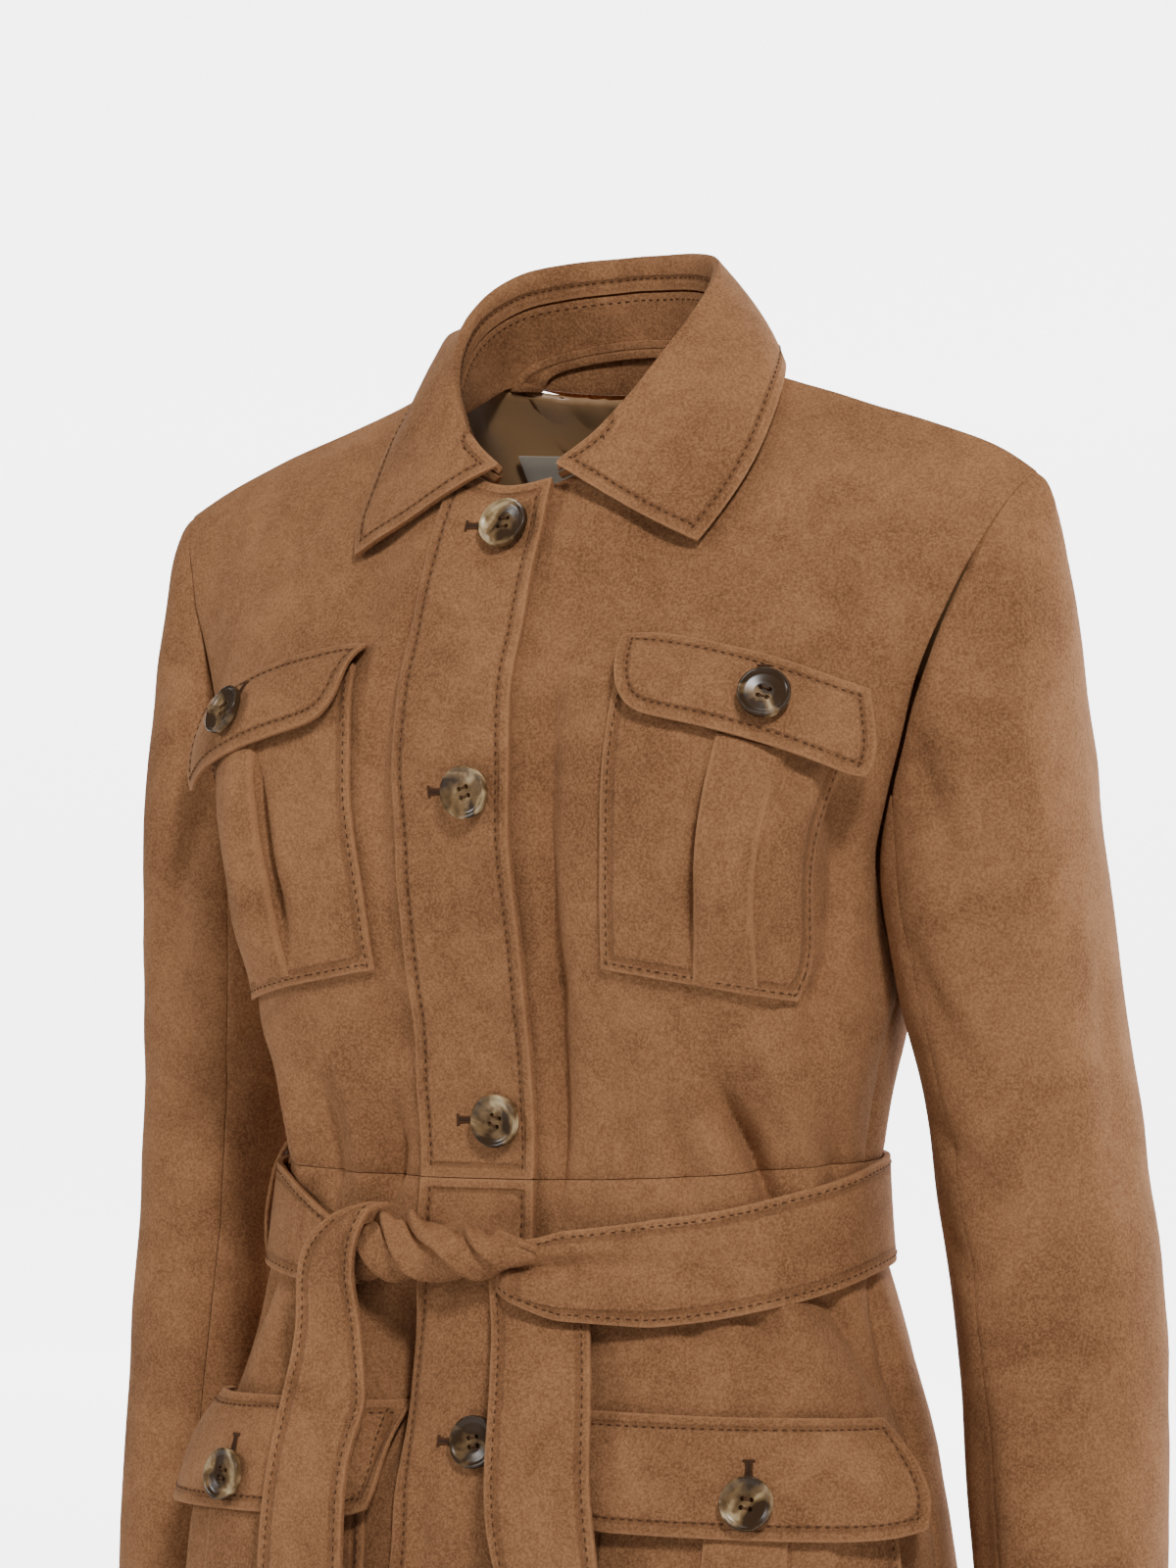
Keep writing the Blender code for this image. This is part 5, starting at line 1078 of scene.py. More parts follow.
def add_bead(points, faces, spot, normal, ahead, length, thick):
    """One stitch: two rings of four points between two sunk ends."""
    normal = normal / max(np.linalg.norm(normal), 1e-9)
    side = np.cross(normal, ahead)
    side = side / max(np.linalg.norm(side), 1e-9)
    along = np.cross(side, normal)
    start = len(points)
    base = spot + normal * (BEAD_LIFT * thick)
    points.append(base - along * 0.5 * length - normal * BEAD_SINK * thick)
    for share in BEAD_RINGS:
        middle = base + along * share * length
        for way in (normal, side, -normal, -side):
            points.append(middle + way * 0.5 * thick)
    points.append(base + along * 0.5 * length - normal * BEAD_SINK * thick)
    for i in range(4):
        j = (i + 1) % 4
        faces.append((start, start + 1 + i, start + 1 + j))
        faces.append((start + 1 + i, start + 5 + i, start + 5 + j, start + 1 + j))
        faces.append((start + 9, start + 5 + j, start + 5 + i))


# ---------------------------------------------------------------- knot and pleats

RopeRow = namedtuple("RopeRow", "x y z half_height half_depth")
ROPE = (
    RopeRow(0.0280, -0.0950, -0.3270, 0.0030, 0.0030),
    RopeRow(0.0160, -0.0965, -0.3280, 0.0074, 0.0064),
    RopeRow(0.0020, -0.0970, -0.3285, 0.0102, 0.0090),
    RopeRow(-0.0130, -0.0960, -0.3278, 0.0124, 0.0104),
    RopeRow(-0.0270, -0.0940, -0.3268, 0.0134, 0.0108),
    RopeRow(-0.0400, -0.0920, -0.3268, 0.0148, 0.0108),
    RopeRow(-0.0520, -0.0900, -0.3275, 0.0150, 0.0100),
    RopeRow(-0.0620, -0.0880, -0.3285, 0.0138, 0.0086),
    RopeRow(-0.0700, -0.0860, -0.3300, 0.0090, 0.0060),
)
ROPE_STEPS = 150
ROPE_TURNS = 120
FOLDS_ROUND = 3
FOLD_TURN = 96.0
FOLD_DEPTH = 0.38
FOLD_SHARES = (1.0, 0.72, 1.15)
FOLD_RISE = 0.6
FOLD_DROP = (0.90, 1.0)
FOLD_WANDER = ((0.35, 70.0, 0.0), (0.2, 167.0, 1.0))
LIP_AT = 0.80
LIP_WIDTH = 0.16
LIP_HEIGHT = 0.35
LIP_DROP = (0.92, 1.0)
FINE_FOLDS = 0.035
FINE_DRIFT = 90
EASE_SAMPLES = 400
EASE_HALF = 20


def closed_sweep(name, rings, finish, rims=None):
    """A closed skin over rings of points, ends capped."""
    count = len(rings[0])
    points = [tuple(p) for ring in rings for p in ring]
    faces = []
    for i in range(len(rings) - 1):
        for j in range(count):
            k = (j + 1) % count
            faces.append((i * count + j, i * count + k, (i + 1) * count + k, (i + 1) * count + j))
    faces.append(tuple(reversed(range(count))))
    faces.append(tuple(range((len(rings) - 1) * count, len(rings) * count)))
    return made_from(name, points, faces, finish, rims)


def made_from(name, points, faces, finish, rims=None):
    """An object from points and faces, with how far each point is from a sewn rim."""
    mesh = bpy.data.meshes.new(name)
    mesh.from_pydata(points, [], faces)
    mesh.materials.append(finish)
    layer = mesh.attributes.new("rim", "FLOAT", "POINT")
    layer.data.foreach_set("value", np.full(len(points), NO_RIM) if rims is None else rims)
    made = linked(name, mesh)
    turned_outward(made)
    mesh.shade_smooth()
    return made


def folded_radius(turns, at):
    """The rope's radius all round at one place, as a share: folds that rise to a lip and drop off."""
    wander = sum(size * math.sin(pace * at + late) for size, pace, late in FOLD_WANDER)
    phase = (turns + FOLD_TURN * at + wander) * FOLDS_ROUND / math.tau
    share = phase - np.floor(phase)
    which = np.floor(phase).astype(int) % FOLDS_ROUND
    depth = FOLD_DEPTH * np.array(FOLD_SHARES)[which]
    lip = np.exp(-(((share - LIP_AT) / LIP_WIDTH) ** 2)) * LIP_HEIGHT
    height = (share ** FOLD_RISE) * (1 - smooth_step(*FOLD_DROP, share))
    height = height + lip * (1 - smooth_step(*LIP_DROP, share))
    fine = FINE_FOLDS * np.sin(2 * phase * math.tau + FINE_DRIFT * at)
    return 1.0 - depth * (1.0 - height) + fine


def add_rope():
    """The twisted turn of the knot: overlapping folds that climb round a soft rope."""
    rows = np.array(ROPE)
    arcs = np.concatenate([[0.0], np.cumsum(np.linalg.norm(np.diff(rows[:, :3], axis=0), axis=1))])
    at = np.linspace(0, arcs[-1], ROPE_STEPS)
    x, y, z, high, deep = (smooth_line(at, arcs, rows[:, k]) for k in range(5))
    turns = np.linspace(0, math.tau, ROPE_TURNS, endpoint=False)
    rings = []
    for i in range(ROPE_STEPS):
        radius = folded_radius(turns, at[i])
        along_y = y[i] - deep[i] * radius * np.sin(turns)
        along_z = z[i] + high[i] * radius * np.cos(turns)
        rings.append(np.stack([np.full(ROPE_TURNS, x[i]), along_y, along_z], -1))
    knot = closed_sweep("belt_knot_cloth", rings, suede())
    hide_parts("belt_knot")
    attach(knot, "root")


def smooth_line(at, arcs, values):
    """Values along a line, eased by a short running mean."""
    fine = np.linspace(arcs[0], arcs[-1], EASE_SAMPLES)
    padded = np.pad(np.interp(fine, arcs, values), EASE_HALF, mode="edge")
    window = np.hanning(2 * EASE_HALF + 1)
    eased = np.convolve(padded, window / window.sum(), mode="valid")
    return np.interp(at, fine, eased)


# Box pleats laid over the pockets: the corners seen from the front, and how far each fold stands off.
PleatStrip = namedtuple("PleatStrip", "node in_top out_top in_low out_low inner outer")
PLEATS = (
    PleatStrip(
        "chest_pocket_left", (0.1135, -0.112), (0.1372, -0.119), (0.0985, -0.2155), (0.1215, -0.2190),
        0.0085, 0.0052,
    ),
    PleatStrip(
        "chest_pocket_right", (-0.1165, -0.110), (-0.1390, -0.116), (-0.1010, -0.2120), (-0.1230, -0.2165),
        0.0075, 0.0050,
    ),
    PleatStrip(
        "hip_pocket_left", (0.1075, -0.436), (0.1425, -0.436), (0.1040, -0.5640), (0.1400, -0.5640),
        0.0050, 0.0030,
    ),
    PleatStrip(
        "hip_pocket_right", (-0.1075, -0.436), (-0.1425, -0.436), (-0.1040, -0.5640), (-0.1400, -0.5640),
        0.0050, 0.0036,
    ),
)
PLEAT_WALL = 0.0017
PLEAT_ROWS = 48
PLEAT_COLUMNS = 25
PLEAT_MARGIN = 0.004
PLEAT_LIFT = 0.0030
PLEAT_EDGE = 0.0024
PLEAT_SLACK = 0.0020
PLEAT_WAVE = 0.0004
PLEAT_CURL = 0.0011
CHORD_START = 0.1
CHORD_SHARE = 0.8
# Where a pleat's opening and its foot end, how open its end stays, and how high its foot lies.
OPEN_UNTIL = 0.95
OPEN_AT_END = 0.15
FOOT_FROM = 0.93
FOOT_LIFT = 0.62
CAST_FROM = -0.5


def cast_back(node, x, z):
    """Where a front piece's surface is, straight back from the place x, z."""
    hit = SURFACES[node].ray_cast(Vector((x, CAST_FROM, z)), Vector((0, 1, 0)))
    if hit[0] is None:
        hit = SURFACES[node].find_nearest(Vector((x, -0.09, z)))
    return np.array(hit[0]), np.array(hit[1])


def pleat_row(pleat, d):
    """One row of a pleat's outer and under side, at the share d of the way down."""
    inside = (1 - d) * np.array(pleat.in_top) + d * np.array(pleat.in_low)
    outside = (1 - d) * np.array(pleat.out_top) + d * np.array(pleat.out_low)
    centre = 0.5 * (inside + outside)
    margin = PLEAT_MARGIN * (outside - inside) / np.linalg.norm(outside - inside)
    spots = [cast_back(pleat.node, *place)[0] for place in (inside - margin, centre, outside + margin)]
    way = unit(np.cross(spots[2] - spots[0], (0, 0, 1.0)))
    way = way if way[1] < 0 else -way
    t = np.linspace(0, 1, PLEAT_COLUMNS)[:, None]
    chord = spots[0] + (spots[2] - spots[0]) * (CHORD_START + CHORD_SHARE * t)
    bow = max(0.0, float((spots[1] - 0.5 * (spots[0] + spots[2])) @ way) - PLEAT_SLACK)
    base = chord + way * (bow * 4 * t * (1 - t))
    opened = math.sin(math.pi * min(1.0, d * 1.05)) ** 0.8 if d < OPEN_UNTIL else OPEN_AT_END
    foot = float(smooth_step(1.0, FOOT_FROM, d)) if d > FOOT_FROM else 1.0
    left = PLEAT_LIFT + (pleat.inner - PLEAT_LIFT) * opened
    right = PLEAT_LIFT + (pleat.outer - PLEAT_LIFT) * opened
    lift = left * (1 - t) + right * t + PLEAT_WAVE * np.sin(9 * d + 4 * t)
    lift = lift * (FOOT_LIFT + (1 - FOOT_LIFT) * foot)
    curl = PLEAT_CURL * (np.abs(2 * t - 1) ** 9)
    return base + way * (lift - curl), base + way * (lift - curl - PLEAT_WALL)


def add_pleat(pleat):
    """One box pleat: a strip whose two folds stand off the pocket, flat at its sewn end."""
    rows = [pleat_row(pleat, d) for d in np.linspace(0, 1, PLEAT_ROWS)]
    rings = [np.vstack([outer, under[::-1]]) for outer, under in rows]
    top, low = rows[0][0], rows[-1][0]
    width = float(np.linalg.norm(top[-1] - top[0]))
    # The rim value across the strip is the distance to its two fold edges, where the suede paints its edge
    # highlight.
    over = np.linspace(0, 1, PLEAT_COLUMNS)
    edge = CHORD_SHARE * width * np.minimum(over, over[::-1])
    edge = np.where(edge < PLEAT_EDGE, edge, NO_RIM)
    rims = np.tile(np.concatenate([edge, edge[::-1]]), PLEAT_ROWS)
    made = closed_sweep(pleat.node + "_pleat", rings, suede(), rims)
    make_active(made)
    bpy.ops.object.shade_smooth_by_angle(angle=SMOOTH_BELOW)
    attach(made, "root")


# ---------------------------------------------------------------- buttons and their holes

BUTTON_NODES = tuple(f"button_front_{i}" for i in range(1, 6)) + (
    "button_chest_left", "button_chest_right", "button_hip_left", "button_hip_right",
)
HOLE_OFFSET = 0.0019
HOLE_RADIUS = 0.00105
BUTTON_DEPTH = 0.0034
BUTTON_RIM = 0.0006
BUTTON_SIDES = 56
DRILL_SIDES = 20
BUTTON_ROUNDED_ABOVE = math.radians(28)
BUTTON_SMOOTH_BELOW = math.radians(38)
BUTTON_TURN = 0.35
BUTTON_TURN_STEP = 2.3
BUTTON_THREAD = (0.0040, 0.0008)
DRILL_LENGTH = 0.02
THREAD_SINK = 0.0013
# The button's face, from its edge in: how wide each step is and how far it drops.
BUTTON_STEPS = (
    (0.0012, 0.0), (0.0009, -0.0008), (0.0012, -0.0004), (0.0022, 0.0), (0.0006, -0.00025), (0.0012, 0.0),
)


def select_top(piece):
    """In edit mode, the highest face that looks up is the one selected."""
    bpy.ops.object.mode_set(mode="OBJECT")
    mesh = piece.data
    for kind in (mesh.vertices, mesh.edges, mesh.polygons):
        kind.foreach_set("select", [False] * len(kind))
    best = max(mesh.polygons, key=lambda f: (round(f.normal.z, 2), len(f.vertices), f.center.z))
    best.select = True
    bpy.ops.object.mode_set(mode="EDIT")
    bpy.ops.mesh.select_mode(type="FACE")


def button_template(settings):
    """A four-hole button lying flat, its face up."""
    deselect()
    bpy.ops.mesh.primitive_cylinder_add(vertices=BUTTON_SIDES, radius=settings.radius, depth=BUTTON_DEPTH)
    button = bpy.context.active_object
    button.name = "button_template"
    select_top(button)
    for thickness, depth in BUTTON_STEPS:
        bpy.ops.mesh.inset(thickness=thickness, depth=depth)
    bpy.ops.object.mode_set(mode="OBJECT")
    bevel = button.modifiers.new("rim", "BEVEL")
    bevel.width = BUTTON_RIM
    bevel.segments = 3
    bevel.limit_method = "ANGLE"
    bevel.angle_limit = BUTTON_ROUNDED_ABOVE
    bpy.ops.object.modifier_apply(modifier=bevel.name)
    for sx in (-1, 1):
        for sy in (-1, 1):
            drill_hole(button, (HOLE_OFFSET * sx, HOLE_OFFSET * sy, 0))
    make_active(button)
    bpy.ops.object.shade_smooth_by_angle(angle=BUTTON_SMOOTH_BELOW)
    return button


def drill_hole(button, place):
    deselect()
    bpy.ops.mesh.primitive_cylinder_add(
        vertices=DRILL_SIDES, radius=HOLE_RADIUS, depth=DRILL_LENGTH, location=place,
    )
    drill = bpy.context.active_object
    cut = button.modifiers.new("hole", "BOOLEAN")
    cut.operation = "DIFFERENCE"
    cut.solver = "EXACT"
    cut.object = drill
    applied(button, cut)
    bpy.data.objects.remove(drill)


def seat_of(node):
    """Centre, sideways, upright and face directions of a packed button."""
    points = corners_of(node)
    centre = points.mean(axis=0)
    _, _, axes = np.linalg.svd(points - centre)
    face = axes[2] if axes[2][1] < 0 else -axes[2]
    up = unit(np.array([0.0, 0.0, 1.0]) - face * face[2])
    return centre, np.cross(up, face), up, face


def turned(across, up, angle):
    """Two directions turned about the third by an angle."""
    c, s = math.cos(angle), math.sin(angle)
    return across * c + up * s, up * c - across * s


def placed(one, two, face, centre):
    """The transform with these axes and this origin."""
    upper = np.stack([one, two, face, centre], -1)
    return Matrix(np.vstack([upper, (0, 0, 0, 1)]).tolist())


def add_buttons(settings):
    """A copy of the button on each packed one, each turned a little, with its crossing threads."""
    template = button_template(settings)
    spots = []
    for index, node in enumerate(BUTTON_NODES):
        centre, across, up, face = seat_of(node)
        one, two = turned(across, up, BUTTON_TURN * math.sin(BUTTON_TURN_STEP * index))
        mesh = template.data.copy()
        mesh.transform(placed(one, two, face, centre))
        mesh.materials.clear()
        mesh.materials.append(horn())
        button = linked(node + "_horn", mesh)
        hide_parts(node)
        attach(button, "root")
        for row in (-1, 1):
            lift = face * (0.5 * BUTTON_DEPTH - THREAD_SINK)
            spots.append((centre + two * row * HOLE_OFFSET + lift, face, one))
    bpy.data.objects.remove(template)
    stitch_mesh("button_threads", spots, *BUTTON_THREAD)


# Buttonholes: button, the cloth it goes through, and whether the slit runs sideways or up, and how far.
ButtonHole = namedtuple("ButtonHole", "button cloth way reach")
BUTTON_HOLES = (
    ButtonHole("button_front_1", "placket_upper", "side", 0.0158),
    ButtonHole("button_front_2", "placket_upper", "side", 0.0158),
    ButtonHole("button_front_3", "placket_upper", "side", 0.0158),
    ButtonHole("button_front_4", "placket_lower", "side", 0.0158),
    ButtonHole("button_front_5", "placket_lower", "side", 0.0158),
    ButtonHole("button_chest_left", "chest_flap_left", "up", 0.0135),
    ButtonHole("button_chest_right", "chest_flap_right", "up", 0.0135),
    ButtonHole("button_hip_left", "hip_flap_left", "up", 0.0150),
    ButtonHole("button_hip_right", "hip_flap_right", "up", 0.0150),
)
SLIT_START = 0.004
SLIT_STEP = 0.0006
SLIT_HALF = 0.00105
BAR_HALF = 0.0024
BAR_BEADS = 9
BAR_BACK = 0.0035
REACH_PAST = 0.003
WOBBLE = 0.00018
WOBBLE_PACE = 31
# Length and width of the thread beads round a hole, and of the dark beads inside it that paint the slit's
# shade.
HOLE_THREAD = (0.0017, 0.00062)
SLIT_SHADE_BEAD = (0.0012, 0.0008)


def add_buttonholes():
    """Worked holes: a slit between close stitches, with a bar at the outer end; the slit is dark beads of
    painted shade.
    """
    slit_shade_spots, beads = [], []
    for hole in BUTTON_HOLES:
        centre, across, up, _ = seat_of(hole.button)
        way = -across if hole.way == "side" else up
        start = centre + way * SLIT_START
        reach = hole.reach + REACH_PAST
        for step in np.arange(0.0, reach - SLIT_START, SLIT_STEP):
            spot, normal, sideways = on_cloth(hole.cloth, start + way * step, way)
            wobble = WOBBLE * math.sin(WOBBLE_PACE * step / SLIT_STEP)
            for side in (-1, 1):
                beads.append((spot + sideways * side * (SLIT_HALF + wobble), normal, sideways))
            # A dark bead of painted shade down the middle of the slit.
            slit_shade_spots.append((spot, normal, way))
        spot, normal, sideways = on_cloth(hole.cloth, start + way * (reach - BAR_BACK), way)
        for shift in np.linspace(-BAR_HALF, BAR_HALF, BAR_BEADS):
            beads.append((spot + sideways * shift, normal, way))
    stitch_mesh("buttonhole_stitches", beads, *HOLE_THREAD)
    # The slit's opening: dark beads of painted shade.
    stitch_mesh("buttonhole_slits", slit_shade_spots, *SLIT_SHADE_BEAD, painted_slit_shade)


def on_cloth(node, place, way):
    """The nearest spot on a cloth's outside, its normal, and the direction across the way."""
    hit = SURFACES[node].find_nearest(Vector(place))
    spot, normal = np.array(hit[0]), np.array(hit[1])
    return spot, normal, unit(np.cross(normal, way))


# ---------------------------------------------------------------- strip at the nape

# The strip of lining at the nape: half its width, its wall, how far it stands off the back, and how far
# it goes under the lining and over the stand.
STRIP_HALF = 0.050
STRIP_WALL = 0.0009
STRIP_OFF = 0.0022
STRIP_UNDER = 0.026
STRIP_OVER = 0.004
STRIP_ROWS = 9
STRIP_COLUMNS = 41
STRIP_FEWEST = 6
STRIP_CLIMB = 0.001
STRIP_CAST_FROM = -0.04
STRIP_FACING = -0.4
LINING_NEAR = 0.014
STAND_NEAR = 0.010


def nape_column(tree, x, lining, stand):
    """Places up the inside of the nape at one x, evenly spread, or None where there is no room."""
    below = lining[(np.abs(lining[:, 0] - x) < LINING_NEAR) & (lining[:, 1] > 0.0)]
    above = stand[(np.abs(stand[:, 0] - x) < STAND_NEAR) & (stand[:, 1] > 0.0)]
    spots = []
    for z in np.arange(below[:, 2].max() - STRIP_UNDER, above[:, 2].min() + STRIP_OVER, STRIP_CLIMB):
        hit = tree.ray_cast(Vector((x, STRIP_CAST_FROM, z)), Vector((0, 1, 0)))
        if hit[0] is None or hit[1].y > STRIP_FACING or hit[0].y < 0.0:
            if spots:
                break
            continue
        spots.append((hit[0].y - STRIP_OFF, z))
    if len(spots) < STRIP_FEWEST:
        return None
    depths, heights = np.array(spots).T
    levels = np.linspace(heights[0], heights[-1], STRIP_ROWS)
    return np.stack([np.full(STRIP_ROWS, x), np.interp(levels, heights, depths), levels], -1)


def add_neck_strip():
    """A strip of lining up the inside of the nape, from the lining's top to the stand's foot."""
    lining, stand, back = (corners_of(n) for n in ("lining_back", "collar_stand", "back_upper"))
    faces = [tuple(p.vertices) for p in bpy.data.objects["back_upper"].data.polygons]
    tree = BVHTree.FromPolygons([Vector(p) for p in back], faces)
    across_nape = np.linspace(-STRIP_HALF, STRIP_HALF, STRIP_COLUMNS)
    columns = [nape_column(tree, x, lining, stand) for x in across_nape]
    front = [column for column in columns if column is not None]
    behind = np.array((0.0, STRIP_WALL, 0.0))
    rings = [np.vstack([column, (column + behind)[::-1]]) for column in front]
    made = closed_sweep("lining_neck_strip", rings, satin())
    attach(made, "root")
    front = np.array(front)


# ---------------------------------------------------------------- operators


class JACKET_OT_body(bpy.types.Operator):
    """Back and fronts"""

    bl_idname = "jacket.body"
    bl_label = "Body"

    def execute(self, context):
        dress(cuts_named("back_", "front_"), suede)
        return {"FINISHED"}


class JACKET_OT_sleeves(bpy.types.Operator):
    """Two-piece sleeves"""

    bl_idname = "jacket.sleeves"
    bl_label = "Sleeves"

    def execute(self, context):
        dress(cuts_named("sleeve_"), suede)
        return {"FINISHED"}


class JACKET_OT_collar(bpy.types.Operator):
    """Collar stand and leaf"""

    bl_idname = "jacket.collar"
    bl_label = "Collar"

    def execute(self, context):
        dress(cuts_named("collar_"), suede)
        return {"FINISHED"}


class JACKET_OT_closure(bpy.types.Operator):
    """Button band on the right front"""

    bl_idname = "jacket.closure"
    bl_label = "Closure"

    def execute(self, context):
        dress(cuts_named("placket_"), suede)
        return {"FINISHED"}


class JACKET_OT_pockets(bpy.types.Operator):
    """Pleated pockets and their flaps"""

    bl_idname = "jacket.pockets"
    bl_label = "Pockets"

    def execute(self, context):
        dress(cuts_named("chest_", "hip_"), suede)
        return {"FINISHED"}


class JACKET_OT_belt(bpy.types.Operator):
    """Belt, its hanging ends and its loops"""

    bl_idname = "jacket.belt"
    bl_label = "Belt"

    def execute(self, context):
        dress(cuts_named("belt_"), suede)
        return {"FINISHED"}


class JACKET_OT_knot(bpy.types.Operator):
    """Twisted knot of the belt"""

    bl_idname = "jacket.knot"
    bl_label = "Knot"

    def execute(self, context):
        add_rope()
        return {"FINISHED"}


class JACKET_OT_pleats(bpy.types.Operator):
    """Box pleats of the four pockets"""

    bl_idname = "jacket.pleats"
    bl_label = "Pleats"

    def execute(self, context):
        for pleat in PLEATS:
            add_pleat(pleat)
        return {"FINISHED"}


class JACKET_OT_buttons(bpy.types.Operator):
    """Four-hole horn buttons and their thread"""

    bl_idname = "jacket.buttons"
    bl_label = "Buttons"

    def execute(self, context):
        add_buttons(context.scene.jacket_buttons)
        return {"FINISHED"}


class JACKET_OT_buttonholes(bpy.types.Operator):
    """Worked buttonholes"""

    bl_idname = "jacket.buttonholes"
    bl_label = "Buttonholes"

    def execute(self, context):
        add_buttonholes()
        return {"FINISHED"}


class JACKET_OT_inside(bpy.types.Operator):
    """Lining, bare label and hanger loop seen in the neck"""

    bl_idname = "jacket.inside"
    bl_label = "Inside"

    def execute(self, context):
        dress(cuts_named("lining_"), satin)
        add_neck_strip()
        dress(cuts_named("neck_"), tape)
        dress(cuts_named("hanger_"), suede)
        return {"FINISHED"}


class JACKET_OT_stitches(bpy.types.Operator):
    """Sewn rows along the edges"""

    bl_idname = "jacket.stitches"
    bl_label = "Stitches"

    def execute(self, context):
        settings = context.scene.jacket_stitches
        for row in SEWN_ROWS:
            places = stitch_places(row.node, row.inset, row.edges, settings.pitch)
            if not places:
                raise RuntimeError(f"{row.node} has no sewing line")
            stitch_mesh(row.node + "_stitches", places, STITCH_SHARE * settings.pitch, settings.thick)
        places = stand_row(STAND_INSET, settings.pitch)
        stitch_mesh("collar_stand_stitches", places, STITCH_SHARE * settings.pitch, settings.thick)
        return {"FINISHED"}


def stand_row(inset, pitch):
    """The stitches inside the collar, just under the seam that joins its leaf to the stand."""
    stand = bpy.data.objects[piece_name("collar_stand")].data
    faces = [tuple(p.vertices) for p in stand.polygons]
    tree = BVHTree.FromPolygons([v.co.copy() for v in stand.vertices], faces)
    found = []
    for line in RIMS["collar_leaf"]:
        for point, way in zip(line, ways_along(line)):
            if tree.find_nearest(Vector(point))[3] > STAND_SEAM:
                continue
            hit = tree.find_nearest(Vector(point) + Vector((0, 0, -inset)))
            spot, normal = np.array(hit[0]), np.array(hit[1])
            if normal[0] * spot[0] + normal[1] * (spot[1] + 0.01) > 0:
                continue
            if not found or np.linalg.norm(spot - found[-1][0]) >= pitch:
                found.append((spot, normal, way))
    return found


class JACKET_OT_stage(bpy.types.Operator):
    """Backdrop, soft lights and the camera"""

    bl_idname = "jacket.stage"
    bl_label = "Stage"

    def execute(self, context):
        settings = context.scene.jacket_stage
        add_backdrop(settings)
        add_lights()
        add_camera()
        return {"FINISHED"}


# The backdrop paper: its side, how far forward its middle is, its wall, its curve and where it glows.
PAPER_SIZE = 24.0
PAPER_FORWARD = -4.0
PAPER_WALL = 7.0
PAPER_CURVE = 2.0
GLOW_FROM_TO = (0.6, 2.4)


def add_backdrop(settings):
    """A sheet of paper that runs along the floor and curves up behind."""
    deselect()
    bpy.ops.mesh.primitive_plane_add(size=PAPER_SIZE, location=(0, PAPER_FORWARD, settings.floor_height))
    paper = bpy.context.active_object
    paper.name = "studio_paper"
    bpy.ops.object.transform_apply(location=True, rotation=True, scale=True)
    mesh = paper.data
    for edge in mesh.edges:
        edge.select = all(mesh.vertices[v].co.y > 0 for v in edge.vertices)
    for vert in mesh.vertices:
        vert.select = vert.co.y > 0
    for face in mesh.polygons:
        face.select = False
    bpy.ops.object.mode_set(mode="EDIT")
    bpy.ops.mesh.select_mode(type="EDGE")
    bpy.ops.mesh.extrude_region_move(TRANSFORM_OT_translate={"value": (0, 0, PAPER_WALL)})
    bpy.ops.object.mode_set(mode="OBJECT")
    curve = paper.modifiers.new("curve", "BEVEL")
    curve.width = PAPER_CURVE
    curve.segments = 12
    bpy.ops.object.modifier_apply(modifier=curve.name)
    bpy.ops.object.shade_smooth()
    paper.data.materials.append(studio_paper())


@material("studio paper")
def studio_paper(tree, shader, place):
    """White paper, lit from behind more and more towards the back."""
    settings = bpy.context.scene.jacket_stage
    white = (1.0, 1.0, 1.0, 1.0)
    set_inputs(shader, {"Base Color": opaque(settings.paper), "Roughness": 0.9, "Emission Color": white})
    split = tree.nodes.new("ShaderNodeSeparateXYZ")
    tree.links.new(place, split.inputs[0])
    glow = spread_value(tree, split.outputs["Y"], *GLOW_FROM_TO, 0.0, settings.paper_glow)
    tree.links.new(glow, shader.inputs["Emission Strength"])


# Lights: name, place, side in metres and watts.
LIT_MIDDLE = (0.0, 0.0, -0.25)
LIGHTS = (
    ("key", (1.9, -2.0, 2.0), 0.5, 82),
    ("fill", (-2.2, -1.9, 1.0), 0.7, 32),
    ("top", (0.0, -0.2, 2.2), 1.0, 12),
)
WORLD_LIGHT = 0.10


def add_light(name, place, size, power):
    """A square soft light aimed at the jacket's middle."""
    data = bpy.data.lights.new(name, "AREA")
    data.shape = "RECTANGLE"
    data.size = size
    data.size_y = size
    data.energy = power
    lamp = linked(name, data)
    lamp.location = place
    lamp.rotation_euler = (Vector(LIT_MIDDLE) - Vector(place)).to_track_quat("-Z", "Y").to_euler()


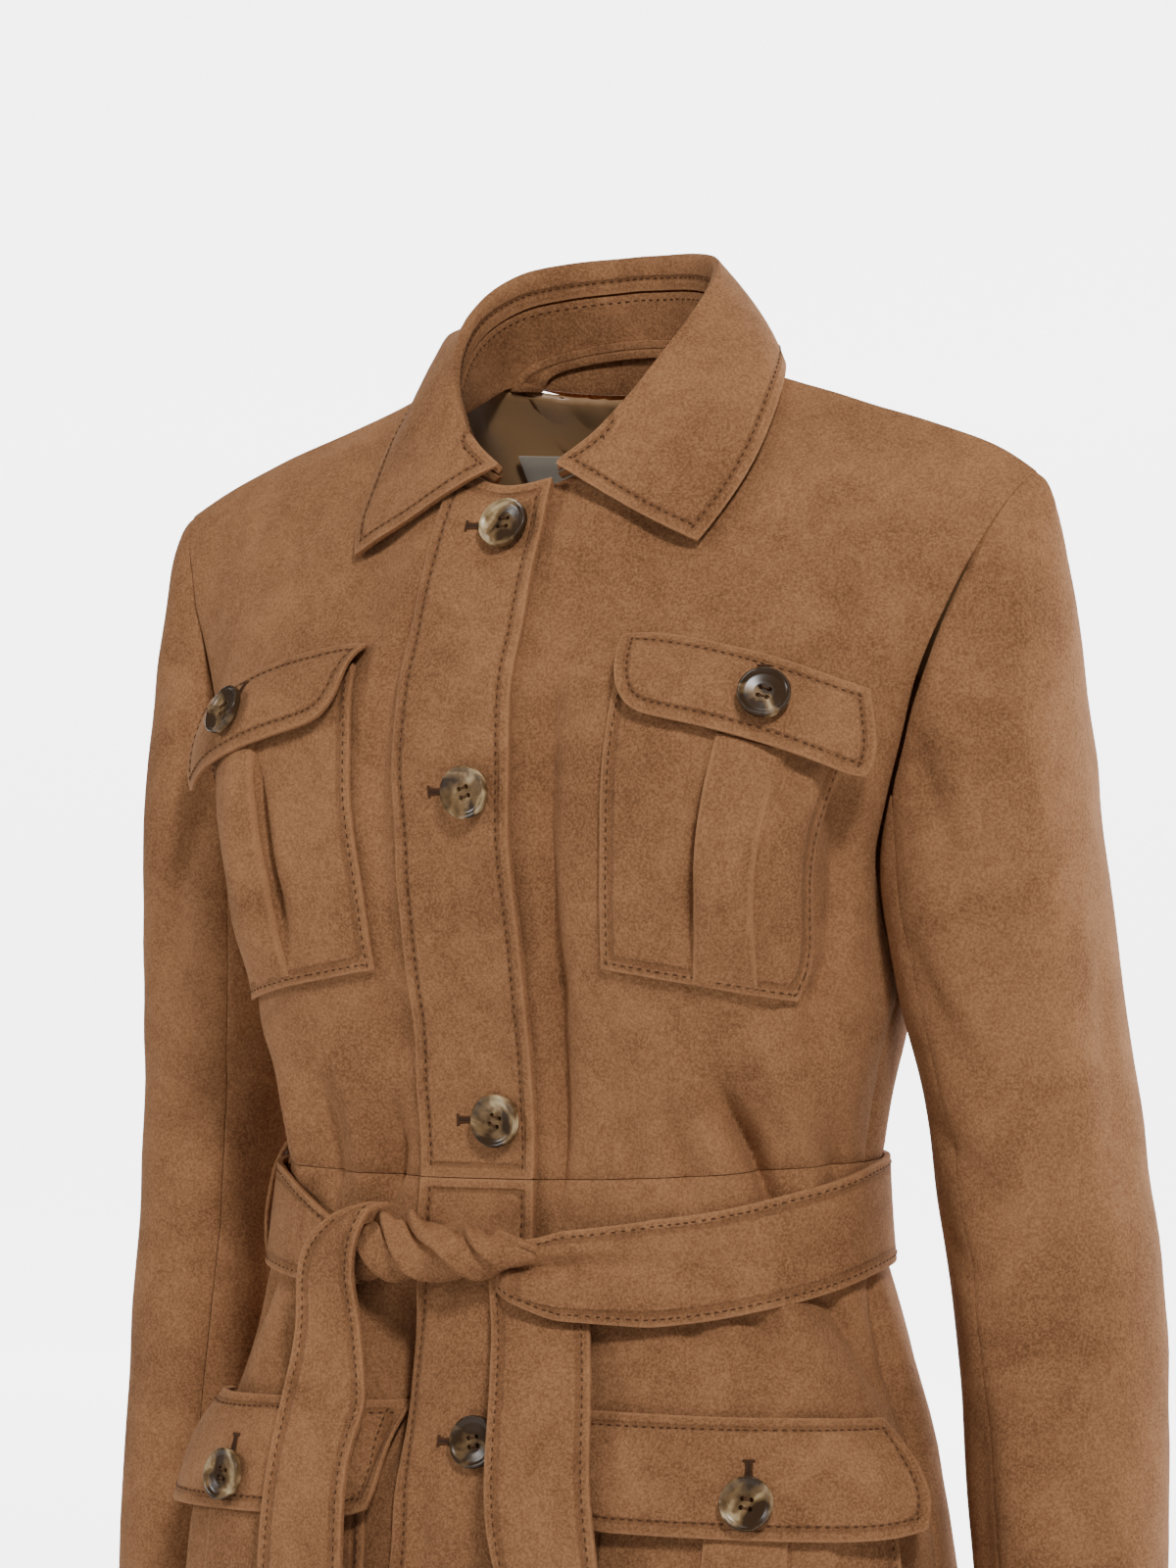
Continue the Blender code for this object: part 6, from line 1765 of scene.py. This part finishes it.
def add_lights():
    for name, place, size, power in LIGHTS:
        add_light(name, place, size, power)
    world = bpy.context.scene.world or bpy.data.worlds.new("studio")
    bpy.context.scene.world = world
    world.use_nodes = True
    set_inputs(world.node_tree.nodes["Background"], {"Color": (1.0, 1.0, 1.0, 1.0), "Strength": WORLD_LIGHT})


def add_camera():
    data = bpy.data.cameras.new("camera")
    data.lens = CAMERA_LENS
    data.sensor_width = 36.0
    data.clip_end = 60.0
    made = linked("camera", data)
    made.location = CAMERA_PLACE
    made.rotation_euler = tuple(math.radians(a) for a in CAMERA_TURN)
    bpy.context.scene.camera = made


class JACKET_PT_panel(bpy.types.Panel):
    """Everything the jacket is made of"""

    bl_label = "Jacket"
    bl_idname = "JACKET_PT_panel"
    bl_space_type = "VIEW_3D"
    bl_region_type = "UI"
    bl_category = "Jacket"

    def draw(self, context):
        scene = context.scene
        for group in (scene.jacket_cloth, scene.jacket_stitches, scene.jacket_buttons, scene.jacket_stage):
            box = self.layout.box()
            for name in group.__annotations__:
                box.prop(group, name)
        for operator in OPERATORS:
            self.layout.operator(operator.bl_idname)


OPERATORS = (
    JACKET_OT_body,
    JACKET_OT_sleeves,
    JACKET_OT_collar,
    JACKET_OT_closure,
    JACKET_OT_pockets,
    JACKET_OT_belt,
    JACKET_OT_knot,
    JACKET_OT_pleats,
    JACKET_OT_inside,
    JACKET_OT_buttons,
    JACKET_OT_buttonholes,
    JACKET_OT_stitches,
    JACKET_OT_stage,
)
GROUPS = (
    ("jacket_cloth", JacketClothSettings),
    ("jacket_stitches", JacketStitchSettings),
    ("jacket_buttons", JacketButtonSettings),
    ("jacket_stage", JacketStageSettings),
)


def register():
    for name, group in GROUPS:
        bpy.utils.register_class(group)
        setattr(bpy.types.Scene, name, bpy.props.PointerProperty(type=group))
    for operator in OPERATORS:
        bpy.utils.register_class(operator)
    bpy.utils.register_class(JACKET_PT_panel)


def unregister():
    bpy.utils.unregister_class(JACKET_PT_panel)
    for operator in reversed(OPERATORS):
        bpy.utils.unregister_class(operator)
    for name, group in reversed(GROUPS):
        delattr(bpy.types.Scene, name)
        bpy.utils.unregister_class(group)


def main():
    register()
    for operator in OPERATORS:
        family, verb = operator.bl_idname.split(".")
        getattr(getattr(bpy.ops, family), verb)()


if __name__ == "__main__":
    main()
